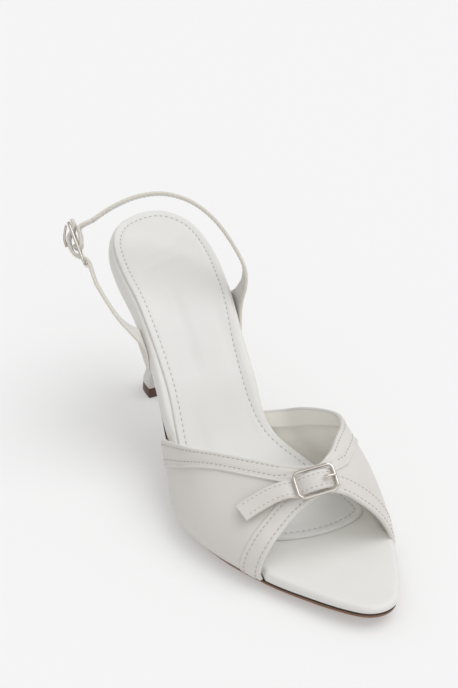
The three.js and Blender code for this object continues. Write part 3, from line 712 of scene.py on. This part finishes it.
def upper_face(t, along):
    """The upper's face: t from the lateral sole to the medial sole, along from rear to front edge."""
    t = np.asarray(t, float)
    along = np.asarray(along, float)
    face = rear_curve(t) + (front_curve(t) - rear_curve(t)) * along[..., None]
    for lateral in (True, False):
        near = t if lateral else 1 - t
        fade = 1 - smoothstep(near, 0, MARGIN_FADE)
        rear, front = (curve(0.0 if lateral else 1.0) for curve in (rear_curve, front_curve))
        straight = rear + (front - rear) * along[..., None]
        margin = sole_margin(lateral, straight[..., 1])
        face = face + (margin - straight) * fade[..., None]
    middle = np.sin(math.pi * along)
    near = np.minimum(t, 1 - t)
    reach = np.minimum(1, near / BULGE_REACH)
    low = 27 / 4 * reach * (1 - reach) ** 2
    high = np.sin(2 * math.pi * near)
    face[..., 0] += np.sign(0.53 - t) * PANEL_BULGE * middle * low
    face[..., 2] += CROWN_BULGE * middle * high
    return face


def upper_normal(t, along):
    d = 0.004
    t0, t1 = np.maximum(0, t - d), np.minimum(1, t + d)
    a0, a1 = np.maximum(0, along - d), np.minimum(1, along + d)
    tangent = upper_face(t1, along) - upper_face(t0, along)
    return -unit(np.cross(tangent, upper_face(t, a1) - upper_face(t, a0)))


def widths(t):
    """The upper's breadth, rear and front band, ridge and slant of the rear band at t."""
    breadth = np.linalg.norm(upper_face(t, np.ones_like(t)) - upper_face(t, np.zeros_like(t)), axis=-1)
    slant = 1 + (REAR_SLANT - 1) * smoothstep(t, 0.1, 0.36)
    rear = np.minimum(BAND_WIDTH * slant, REAR_SHARE * breadth)
    front = np.minimum(BAND_WIDTH, FRONT_SHARE * breadth)
    ridge = np.minimum(RIDGE_WIDTH * slant, 0.06 * breadth)
    return breadth, rear, front, ridge, np.minimum(slant, rear / LEAST_REAR)


ROUND_CAP = [math.radians(a) for a in (-90, -60, -30, 0, 25, 50, 72, 90)]


def cap_depth(angle):
    """How far in from a free edge a place on its rounding lies."""
    return EDGE_DEPTH * (1 - math.cos(angle)) if abs(angle) < 1.5 else EDGE_DEPTH


def upper_profile(breadth, rear, front, ridge, slant, throat):
    """Distances from the rear edge and heights over the face, outer face first."""
    s = []
    n = []
    mid = (BAND_STEP - UPPER_WALL) / 2

    def put(at, height):
        s.append(at)
        n.append(height)

    def stitched(at, off):
        put(at, BAND_STEP - STITCH_GROOVE * math.exp(-((off / 0.35) ** 2)))

    for a in ROUND_CAP:
        put(cap_depth(a), mid + EDGE_ROUND * math.sin(a))
    for at in (1.25, 1.6, STITCH_IN - 0.12, STITCH_IN + 0.12, 2.25, STITCH_REACH):
        stitched(slant * at, at - STITCH_IN)
    for share in (0.25, 0.5, 0.75):
        at = slant * STITCH_REACH + (rear - 2 * slant * STITCH_REACH) * share
        put(at, BAND_STEP + BAND_CROWN * math.sin(math.pi * share))
    for back in (STITCH_REACH, 2.25, STITCH_IN + 0.12, STITCH_IN - 0.12, 1.5, 0.9):
        stitched(rear - slant * back, back - STITCH_IN)
    high = BAND_STEP + RIDGE_HEIGHT * throat
    for share, lift in ((-0.35, 0), (-0.1, 0.02), (0.05, 0.45), (0.2, 0.8), (0.5, 1), (0.8, 0.8)):
        put(rear + share * ridge, BAND_STEP - 0.06 + (high - BAND_STEP + 0.06) * lift)
    put(rear + 1.0 * ridge, 0.45 * high)
    put(rear + 1.12 * ridge, -0.04)
    start = rear + 1.3 * ridge
    put(start, 0)
    fine = min(1.0, max(0.1, (breadth - front - start) / 1.2))
    stop = breadth - front - 0.9 * fine
    for share in np.linspace(0.06, 0.94, 22):
        put(start + (stop - start) * share, 0)
    put(stop, 0)
    put(breadth - front - 0.3 * fine, 0)
    put(breadth - front - 0.12 * fine, 0.02)
    put(breadth - front - 0.02, 0.7 * BAND_STEP)
    put(breadth - front + 0.12, BAND_STEP)
    for ahead in (0.7, 1.3, STITCH_IN - 0.25, STITCH_IN, STITCH_IN + 0.25, STITCH_REACH):
        stitched(breadth - front + ahead, ahead - STITCH_IN)
    for share in (0.25, 0.5, 0.75):
        at = breadth - front + STITCH_REACH + (front - 2 * STITCH_REACH) * share
        put(at, BAND_STEP + BAND_CROWN * math.sin(math.pi * share))
    for back in (STITCH_REACH, 2.2, STITCH_IN, 1.6, 1.2):
        stitched(breadth - back, back - STITCH_IN)
    for a in ROUND_CAP[::-1]:
        put(breadth - cap_depth(a), mid + EDGE_ROUND * math.sin(a))
    inner = -UPPER_WALL
    seam = min(FACING_WIDTH * slant, 0.5 * breadth)
    for share in np.linspace(0.04, 0.96, 18):
        put(breadth - 1.2 + (seam + 1.2 - breadth) * share, inner)
    put(seam + 0.25, inner)
    put(seam + 0.02, inner - 0.3)
    put(seam - 0.4, inner - 0.34)
    for share in np.linspace(0.1, 0.96, 8):
        put(seam - 0.4 + (1.2 - seam + 0.4) * share, inner - 0.3 * (1 - share))
    return s, n


def make_upper(materials):
    count = 440
    t = np.arange(count + 1) / count
    breadth, rear, front, ridge, slant = widths(t)
    throat = 1 - smoothstep(t, 0.45, 0.49) + smoothstep(t, 0.57, 0.61)
    rows = zip(breadth, rear, np.maximum(front, LEAST_FRONT), ridge, slant, throat)
    s, n = np.array([upper_profile(*row) for row in rows]).transpose(1, 0, 2)
    along = np.clip(s / breadth[:, None], 0, 1)
    tt = np.repeat(t[:, None], s.shape[1], 1)
    face = upper_face(tt, along)
    normal = upper_normal(tt, along)
    points = (face + normal * n[..., None]).reshape(-1, 3)
    columns = s.shape[1]
    faces = tube_faces(count + 1, columns, True)
    inside = [int(max(n[0][i], n[0][(i + 1) % columns]) <= -UPPER_WALL) for i in range(columns)]
    return make_object("upper_leather", points, faces, materials, inside * count + [0, 0])


# Stitches
def stitch_rows(name, rows, material, length=1.5, pitch=2.25, radius=0.2):
    """Short rounded threads along rows of (places, normals), each dipping in at its ends."""
    sides = 6
    half = [(0.5, 0.35, -0.3), (0.38, 0.85, -0.02)]
    shape = [(-at, wide, lift) for at, wide, lift in half] + [(0, 1, 0.06)] + half[::-1]
    thread_faces = tube_faces(len(shape), sides)
    points = []
    faces = []
    for places, normals in rows:
        reach = reach_of(places)
        number = max(1, int(reach[-1] // pitch))
        for i in range(number):
            at = (i + 0.5) * reach[-1] / number
            centre = between(at, reach, places)
            ahead = between(min(at + 0.6, reach[-1]), reach, places)
            behind = between(max(at - 0.6, 0), reach, places)
            up = unit(between(at, reach, normals))
            along = unit(ahead - behind)
            across = unit(np.cross(up, along))
            up = np.cross(along, across)
            first = len(points)
            for share, wide, lift in shape:
                for k in range(sides):
                    a = 2 * math.pi * k / sides
                    offset = across * math.cos(a) + up * math.sin(a)
                    points.append(centre + along * share * length + up * lift + offset * radius * wide)
            faces += [[first + v for v in f] for f in thread_faces]
    return make_object(name, np.array(points), faces, [material])


def upper_row(t, s, breadth):
    """A stitch row on the upper's bands, at the distance s from the rear edge."""
    along = s / breadth
    normal = upper_normal(t, along)
    return upper_face(t, along) + normal * (BAND_STEP - STITCH_SINK), normal


def make_upper_stitches(material):
    """Two rows along each band, which stop at the throat."""
    rows = []
    for start, stop in ((0.012, 0.455), (0.6, 0.985)):
        t = np.linspace(start, stop, 400)
        breadth, rear, _, _, slant = widths(t)
        rows.append(upper_row(t, STITCH_IN * slant, breadth))
        rows.append(upper_row(t, rear - STITCH_IN * slant, breadth))
    for start, stop in ((0.02, 0.465), (0.595, 0.98)):
        t = np.linspace(start, stop, 400)
        breadth, _, front, _, _ = widths(t)
        rows.append(upper_row(t, breadth - np.maximum(front, LEAST_FRONT) + STITCH_IN, breadth))
        rows.append(upper_row(t, breadth - STITCH_IN, breadth))
    return stitch_rows("upper_stitches", rows, material)


def make_sock_stitches(material):
    loop = moved_loop(sock_loop(), -SOCK_SEAM)
    loop = np.concatenate([loop, loop[:1]])
    places = with_height(loop, sock_height(*loop.T) - 0.34)
    normals = np.tile([0.0, 0.0, 1.0], (len(places), 1))
    return stitch_rows("sock_stitches", [(places, normals)], material, length=1.7, pitch=2.7, radius=0.2)


# Straps. The vamp strap's outer face lies against the way its path turns.
VAMP_FACE = -1


def placed(origin, along, across):
    x = unit(along)
    y = np.asarray(across, float)
    y = unit(y - x * np.dot(x, y))
    return {"origin": np.asarray(origin, float), "x": x, "y": y, "z": np.cross(x, y)}


def in_frame(local, a, b, c):
    return local["origin"] + local["x"] * a + local["y"] * b + local["z"] * c


ankle_frame = placed((47.6, 28.2, 93), (-0.07, 0.7, -0.715), HANG_ACROSS)
vamp_frame = placed((5.5, 177.4, 42.8), (-0.93, 0.27, 0.22), (-0.1, -0.82, 0.56))
BAR_REACH = WIRE / 2 + GAP + STRAP_THICKNESS / 2


def centripetal(places, samples):
    """A smooth line through places, which doesn't swing where they lie close together."""
    places = np.asarray(places, float)
    knots = reach_of(places, 0.5)
    t = np.interp(np.linspace(0, len(places) - 1, samples), np.arange(len(places)), knots)
    return np.stack([Through(knots, places[:, k], True)(t) for k in range(3)], 1)


def strap_path(rows, flat, extra, ending_across):
    """Dense rows of a strap: places, ways across and widths."""
    count = 160
    share = np.linspace(0, 1, count)
    at = np.linspace(0, 1, len(rows))
    hang = Through(at, column(rows, 3))(share)
    flare = Through(at, column(rows, 4))(share)
    places = centripetal([row[:3] for row in rows], count)
    across = np.asarray(flat)[None] * (1 - hang)[:, None] + np.asarray(HANG_ACROSS)[None] * hang[:, None]
    width = STRAP_WIDTH + (BASE_WIDTH - STRAP_WIDTH) * flare
    tail = centripetal(np.concatenate([places[-2:], extra]), 130)[8:]
    places = np.concatenate([places, tail])
    blend = smoothstep(np.linspace(0, 1, len(tail)), 0, 0.25)[:, None]
    turned = unit(across[-1])[None] * (1 - blend) + unit(ending_across)[None] * blend
    across = np.concatenate([across, turned])
    width = np.concatenate([width, np.full(len(tail), STRAP_WIDTH)])
    return places, unit(across), width


def ribbon(name, places, across, width, thickness, materials, crown=0.12):
    """A strap with rounded cut edges: materials are for its faces and for its edges."""
    along = unit(np.gradient(places, axis=0))
    normal = unit(np.cross(along, across))
    h = thickness / 2
    section = []
    for u in np.linspace(-1, 1, 13):
        section.append((u, h + crown * (1 - u * u) - 0.25 * h * max(0, abs(u) - 0.86) / 0.14, 0))
    section += [(1.0, 0.35 * h, 0.12), (1.0, -0.35 * h, 0.12)]
    for u in np.linspace(1, -1, 9):
        section.append((u, -h + 0.2 * h * max(0, abs(u) - 0.86) / 0.14, 0))
    section += [(-1.0, -0.35 * h, 0.12), (-1.0, 0.35 * h, 0.12)]
    count = len(section)
    points = []
    for p, a, b, w in zip(places, across, normal, width):
        for u, c, out in section:
            points.append(p + a * (u * w / 2 + math.copysign(out, u)) + b * c)
    faces = []
    for r in range(len(places) - 1):
        for i in range(count):
            a = r * count + i
            b = r * count + (i + 1) % count
            faces.append((a, a + count, b + count, b))
    faces += tube_faces(len(places), count, True)[-2:]
    cut = [int(abs(section[i - 1][0]) == abs(section[i][0]) == 1.0) for i in range(count)]
    slots = (cut[1:] + cut[:1]) * (len(places) - 1) + [1, 1]
    return make_object(name, np.array(points), faces, materials, slots)


def strap_stitches(places, across, width, thickness, inset, side):
    along = unit(np.gradient(places, axis=0))
    normal = unit(np.cross(along, across))
    face = normal * side
    rows = []
    for sign in (-1, 1):
        aside = across * (sign * (width / 2 - inset))[:, None]
        rows.append((places + aside + face * (thickness / 2 - 0.03), face))
    return rows


def make_ankle_strap(name, table, flat, steps, stitched, materials, thread):
    """A strap along its table, then through the frame in steps along and above it."""
    extra = np.array([in_frame(ankle_frame, a, 0, c) for a, c in steps])
    path = strap_path(table, flat, extra, ankle_frame["y"])
    piece = ribbon(name + "_leather", *path, STRAP_THICKNESS, materials)
    places, across, width = (part[stitched] for part in path)
    rows = []
    for side in (1, -1):
        rows += strap_stitches(places, across, width, STRAP_THICKNESS, STRAP_STITCH_IN, side)
    return piece, stitch_rows(name + "_stitches", rows, thread, 1.2, 1.9, 0.13)


def make_long_strap(materials, thread):
    """The long strap ends in a fold round the middle bar."""
    steps = [(-7, -3.4), (-3.4, -BAR_REACH - 1.1)]
    for k in range(7):
        angle = math.pi * k / 6
        steps.append((BAR_REACH * math.sin(angle), -BAR_REACH * math.cos(angle)))
    line = ("ankle_strap_long", LONG_STRAP, LONG_ACROSS, steps, slice(22, 165))
    return make_ankle_strap(*line, materials, thread)


def make_short_strap(materials, thread):
    """The short strap passes under the frame's ends and over its middle bar."""
    end = (ANKLE_BUCKLE[0] - WIRE) / 2
    over = BAR_REACH + STRAP_THICKNESS + GAP
    steps = [
        (end + 1.2 * WIRE, -BAR_REACH - 0.1),
        (end - 1.1 * WIRE, -BAR_REACH - 0.1),
        (0.64 * end, -0.1 * BAR_REACH),
        (0.4 * end, 0.75 * over),
        (0.16 * end, over),
        (-0.16 * end, over),
        (-0.45 * end, 0.72 * over),
        (-0.66 * end, -0.1 * BAR_REACH),
        (0.8 * WIRE - end, -BAR_REACH - 0.1),
        (-end - WIRE, -BAR_REACH - 0.1),
    ]
    line = ("ankle_strap_short", SHORT_STRAP, SHORT_ACROSS, steps, slice(30, None))
    return make_ankle_strap(*line, materials, thread)


def make_vamp_strap(materials, thread):
    """The vamp strap passes under the frame's ends and ends in the free tail."""
    end = (VAMP_BUCKLE[0] - WIRE) / 2
    under = WIRE / 2 + GAP + TAIL_THICKNESS / 2 + 0.15
    steps = [
        (end + WIRE, -under),
        (end - 0.4 * WIRE, -under),
        (0.55 * end, -0.1 * under),
        (0.3 * end, 0.5 * WIRE),
        (-0.2 * end, 0.5 * WIRE),
        (-0.55 * end, -0.2 * under),
        (0.8 * WIRE - end, -under),
        (-end - 0.6 * WIRE, -under),
    ]
    places = [in_frame(vamp_frame, a, 0, c) for a, c in steps] + [np.array(p, float) for p in TAIL]
    count = 170
    dense = centripetal(places, count)
    turn = smoothstep(np.linspace(0, 1, count), 0.6, 0.78)[:, None]
    across = unit(vamp_frame["y"][None] * (1 - turn) + unit(TAIL_ACROSS)[None] * turn)
    width = np.full(count, TAIL_WIDTH)
    piece = ribbon("vamp_strap_leather", dense, across, width, TAIL_THICKNESS, materials, 0.2)
    inner = slice(22, 165)
    line = (dense[inner], across[inner], width[inner])
    rows = strap_stitches(*line, TAIL_THICKNESS, TAIL_STITCH_IN, VAMP_FACE)
    return piece, stitch_rows("vamp_strap_stitches", rows, thread, 1.4, 2.1, 0.18)


# Buckles
def rounded_rectangle(half_length, half_width, radius):
    steps = 12
    corners = [(1, 1, 0), (-1, 1, 90), (-1, -1, 180), (1, -1, 270)]
    path = []
    for sx, sy, turn in corners:
        for k in range(steps + 1):
            a = math.radians(turn + 90 * k / steps)
            x = sx * (half_length - radius) + radius * math.cos(a)
            y = sy * (half_width - radius) + radius * math.sin(a)
            path.append((x, y))
    return np.array(path)


def make_buckle(name, local, size, bar, material):
    inner = rounded_rectangle(size[0] / 2 - WIRE, size[1] / 2 - WIRE, BUCKLE_CORNER - WIRE)
    outer = rounded_rectangle(size[0] / 2, size[1] / 2, BUCKLE_CORNER)
    sides = 20
    points = []
    for p, q in zip(inner, outer):
        middle = (p + q) / 2
        out = (q - p) / 2
        for k in range(sides):
            a = 2 * math.pi * k / sides
            c, s = (math.copysign(abs(v) ** 0.7, v) for v in (math.cos(a), math.sin(a)))
            points.append(in_frame(local, *(middle + out * c), s * WIRE / 2))
    rings = len(inner)
    faces = []
    for r in range(rings):
        for k in range(sides):
            a = r * sides + k
            b = r * sides + (k + 1) % sides
            step = ((r + 1) % rings) * sides
            faces.append((a, step + k, step + (k + 1) % sides, b))
    if bar:
        first = len(points)
        half = size[1] / 2 - WIRE / 2
        for y in (-half, half):
            for k in range(sides):
                a = 2 * math.pi * k / sides
                points.append(in_frame(local, 0.5 * WIRE * math.cos(a), y, 0.5 * WIRE * math.sin(a)))
        for k in range(sides):
            b = (k + 1) % sides
            faces.append((first + k, first + sides + k, first + sides + b, first + b))
    return make_object(name, np.array(points), faces, [material])


def make_prong(name, local, rows, material):
    count = 40
    line = centripetal([in_frame(local, a, 0, c) for a, c in rows], count)
    along = unit(np.gradient(line, axis=0))
    across = local["y"]
    sides = 14
    points = []
    for p, a, u in zip(line, along, np.linspace(0, 1, count)):
        up = unit(np.cross(a, across))
        r = PRONG_RADIUS * (1 - 0.25 * u) * math.sqrt(max(0.02, 1 - max(0, (u - 0.93) / 0.07) ** 2))
        for k in range(sides):
            angle = 2 * math.pi * k / sides
            points.append(p + (across * math.cos(angle) + up * math.sin(angle)) * r)
    faces = tube_faces(count, sides, True)
    return make_object(name, np.array(points), faces, [material])


# Materials
class Look:
    """A procedural material, built node by node."""

    def __init__(self, name):
        self.material = bpy.data.materials.new(name)
        self.material.use_nodes = True
        self.tree = self.material.node_tree
        self.shader = self.tree.nodes["Principled BSDF"]
        self.place = self.tree.nodes.new("ShaderNodeTexCoord").outputs["Object"]

    def set(self, **values):
        for key, value in values.items():
            self.shader.inputs[key.replace("_", " ")].default_value = value

    def add(self, kind, source, into, **values):
        """A node with its constants and the link into it."""
        node = self.tree.nodes.new("ShaderNode" + kind)
        for key, value in values.items():
            node.inputs[key.replace("_", " ")].default_value = value
        self.tree.links.new(source, node.inputs[into])
        return node

    def noise(self, scale, detail):
        return self.add("TexNoise", self.place, "Vector", Scale=scale, Detail=detail).outputs["Fac"]

    def cells(self, scale):
        node = self.add("TexVoronoi", self.place, "Vector", Scale=scale)
        node.feature = "SMOOTH_F1"
        return node.outputs["Distance"]

    def ramp(self, source, low, high, first, second):
        node = self.add("ValToRGB", source, "Fac")
        for element, position, tone in zip(node.color_ramp.elements, (low, high), (first, second)):
            element.position = position
            element.color = (*tone, 1)
        return node.outputs["Color"]

    def span(self, source, low, high):
        return self.add("MapRange", source, "Value", To_Min=low, To_Max=high).outputs["Result"]

    def colour(self, source):
        self.tree.links.new(source, self.shader.inputs["Base Color"])

    def roughness(self, source):
        self.tree.links.new(source, self.shader.inputs["Roughness"])

    def bump(self, heights):
        normal = None
        for source, strength, distance in heights:
            node = self.add("Bump", source, "Height", Strength=strength, Distance=distance)
            if normal is not None:
                self.tree.links.new(normal, node.inputs["Normal"])
            normal = node.outputs["Normal"]
        self.tree.links.new(normal, self.shader.inputs["Normal"])


def leather(name, light, shade, rough, coat):
    look = Look(name)
    look.colour(look.ramp(look.noise(35, 3), 0.35, 0.65, shade, light))
    look.roughness(look.span(look.noise(220, 4), rough - 0.05, rough + 0.05))
    look.bump([(look.cells(1500), 0.05, 0.0003), (look.noise(700, 5), 0.05, 0.0003)])
    look.set(Specular_IOR_Level=0.4, Coat_Weight=coat, Coat_Roughness=0.3)
    return look.material


def matt(name, light, shade, mottle, grain, depth, rough, gloss):
    """Cut leather or thread: mottle and grain are the noises of its tones and of its bumps."""
    look = Look(name)
    look.colour(look.ramp(look.noise(*mottle), 0.3, 0.7, shade, light))
    look.bump([(look.noise(*grain), *depth)])
    look.set(Roughness=rough, Specular_IOR_Level=gloss)
    return look.material


def brown(name, light, shade, rough):
    look = Look(name)
    look.colour(look.ramp(look.noise(160, 5), 0.3, 0.7, shade, light))
    look.roughness(look.span(look.noise(400, 4), rough - 0.08, rough + 0.08))
    look.bump([(look.noise(900, 5), 0.1, 0.0003)])
    look.set(Specular_IOR_Level=0.45, Coat_Weight=0.15, Coat_Roughness=0.25)
    return look.material


def metal(name):
    look = Look(name)
    look.colour(look.ramp(look.noise(120, 3), 0.3, 0.7, (0.55, 0.51, 0.46), (0.7, 0.66, 0.61)))
    look.roughness(look.span(look.noise(500, 3), 0.08, 0.15))
    look.set(Metallic=1.0)
    return look.material


white = leather("white_leather", (0.755, 0.744, 0.716), (0.735, 0.724, 0.694), 0.46, 0.06)
# The upper's and straps' white: the same white leather, darkened and warmed as painted shade for the
# upper's sides.
upper_white_painted_shade = leather("upper_leather_white_painted_shade", (0.682, 0.658, 0.626), (0.662, 0.638, 0.606), 0.46, 0.06)
sock_white = leather("sock_leather", (0.722, 0.718, 0.702), (0.705, 0.7, 0.683), 0.5, 0.04)
# The lining: a creamier leather, lightened as painted light for the shaded inside of the upper.
lining_painted_light = leather("lining_leather_painted_light", (0.87, 0.85, 0.79), (0.84, 0.82, 0.76), 0.55, 0.02)
cut = ((900, 4), (1600, 5), (0.25, 0.0003), 0.75, 0.25)
cream = matt("cream_edge", (0.72, 0.69, 0.61), (0.64, 0.6, 0.52), *cut)
spun = ((1200, 3), (2500, 3), (0.2, 0.0002), 0.7, 0.2)
# This thread is a warm beige, darkened further as painted shade for the holes round its stitches.
thread_with_painted_shade = matt("thread_with_painted_shade", (0.53, 0.5, 0.45), (0.42, 0.395, 0.35), *spun)
strap_thread = matt("strap_thread", (0.66, 0.64, 0.59), (0.58, 0.56, 0.51), *spun)
sole_brown = brown("sole_brown", (0.26, 0.12, 0.055), (0.18, 0.08, 0.035), 0.45)
edge_brown = brown("sole_edge", (0.24, 0.125, 0.065), (0.17, 0.085, 0.042), 0.4)
# Near black brown: painted shadow for the gap between the outsole's edge and the rim above it.
painted_gap_shadow = brown("sole_painted_gap_shadow", (0.05, 0.026, 0.016), (0.03, 0.016, 0.01), 0.5)
lift = brown("lift_brown", (0.13, 0.062, 0.042), (0.085, 0.038, 0.026), 0.5)
silver = metal("buckle_silver")


# Pieces
def put_in_place(piece, node):
    """Hides the solid of a node, which a piece stands for. The piece is not used here."""
    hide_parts(node)


put_in_place(make_footbed(white), "footbed")
put_in_place(make_sock(sock_white), "insole_sock")
put_in_place(make_outsole([sole_brown, edge_brown, painted_gap_shadow]), "outsole")
put_in_place(make_heel(white), "heel")
put_in_place(make_top_lift(lift), "top_lift")
put_in_place(make_upper([upper_white_painted_shade, lining_painted_light]), "upper")
make_upper_stitches(thread_with_painted_shade)
make_sock_stitches(thread_with_painted_shade)

STRAPS = [
    ("ankle_strap_long", make_long_strap, strap_thread),
    ("ankle_strap_short", make_short_strap, strap_thread),
    ("vamp_strap", make_vamp_strap, thread_with_painted_shade),
]
for node, make_strap, strap_stitching in STRAPS:
    strap, stitches = make_strap([upper_white_painted_shade, cream], strap_stitching)
    put_in_place(strap, node)

ankle_buckle = make_buckle("ankle_buckle_polished", ankle_frame, ANKLE_BUCKLE, True, silver)
vamp_buckle = make_buckle("vamp_buckle_polished", vamp_frame, VAMP_BUCKLE, False, silver)
put_in_place(ankle_buckle, "ankle_buckle")
put_in_place(vamp_buckle, "vamp_buckle")

# The prongs lie on the leather and end on the frame: places along the frame and above it
vamp_end = (VAMP_BUCKLE[0] - WIRE) / 2
ankle_end = (ANKLE_BUCKLE[0] - WIRE) / 2
on_bar = WIRE / 2 + GAP + PRONG_RADIUS
on_vamp = 0.5 * WIRE + TAIL_THICKNESS / 2 + GAP + PRONG_RADIUS
on_ankle = BAR_REACH + 1.5 * STRAP_THICKNESS + 2 * GAP + PRONG_RADIUS
vamp_rows = [(0.45 * vamp_end, on_vamp), (0.7 * vamp_end, on_vamp), (vamp_end + 0.6, on_bar)]
ankle_rows = [(-0.1 * ankle_end, on_ankle), (-0.5 * ankle_end, 0.9 * on_ankle)]
ankle_rows.append((-ankle_end - 0.6, on_bar))
put_in_place(make_prong("vamp_prong_polished", vamp_frame, vamp_rows, silver), "vamp_prong")
put_in_place(make_prong("ankle_prong_polished", ankle_frame, ankle_rows, silver), "ankle_prong")


# The studio
def make_floor():
    look = Look("pale_floor")
    look.set(Base_Color=(0.56, 0.56, 0.56, 1), Roughness=0.9, Specular_IOR_Level=0.1)
    look.set(Emission_Color=(1, 1, 1, 1), Emission_Strength=0.315)
    mesh = bpy.data.meshes.new("floor")
    mesh.from_pydata([(-4, -4, 0), (4, -4, 0), (4, 4, 0), (-4, 4, 0)], [], [(0, 1, 2, 3)])
    mesh.materials.append(look.material)
    floor = bpy.data.objects.new("floor", mesh)
    bpy.context.scene.collection.objects.link(floor)


def make_sun(name, source, spread, power):
    """A soft, even light from the direction of source. spread is its width in degrees."""
    data = bpy.data.lights.new(name, "SUN")
    data.angle = math.radians(spread)
    data.energy = power
    light = bpy.data.objects.new(name, data)
    light.rotation_euler = (-Vector(source)).to_track_quat("-Z", "Y").to_euler()
    bpy.context.scene.collection.objects.link(light)


def make_camera():
    data = bpy.data.cameras.new("camera")
    data.sensor_fit = "VERTICAL"
    data.sensor_height = 36.0
    data.lens = CAMERA_LENS
    camera = bpy.data.objects.new("camera", data)
    back = unit(CAMERA_BACK)
    right = unit(np.cross(unit(CAMERA_UP), back))
    up = np.cross(back, right)
    matrix = Matrix.Identity(4)
    for k in range(3):
        matrix[k][0], matrix[k][1], matrix[k][2] = right[k], up[k], back[k]
    matrix.translation = CAMERA_PLACE
    camera.matrix_world = matrix
    bpy.context.scene.collection.objects.link(camera)
    bpy.context.scene.camera = camera


make_floor()
world = bpy.data.worlds.new("studio")
world.use_nodes = True
sky = world.node_tree
background = sky.nodes["Background"]
background.inputs["Strength"].default_value = 0.68
way = sky.nodes.new("ShaderNodeSeparateXYZ")
sky.links.new(sky.nodes.new("ShaderNodeTexCoord").outputs["Generated"], way.inputs["Vector"])
horizon = sky.nodes.new("ShaderNodeValToRGB")
horizon.color_ramp.elements[0].position = 0.02
horizon.color_ramp.elements[0].color = (0.22, 0.21, 0.2, 1)
horizon.color_ramp.elements[1].position = 0.34
horizon.color_ramp.elements[1].color = (1, 1, 1, 1)
sky.links.new(way.outputs["Z"], horizon.inputs["Fac"])
sky.links.new(horizon.outputs["Color"], background.inputs["Color"])
bpy.context.scene.world = world
bpy.context.scene.view_settings.view_transform = "Standard"
make_sun("top", (-0.6, 0.15, 1.4), 50, 1.15)
make_sun("front", (0.2, 1.0, 0.6), 60, 0.46)
make_camera()
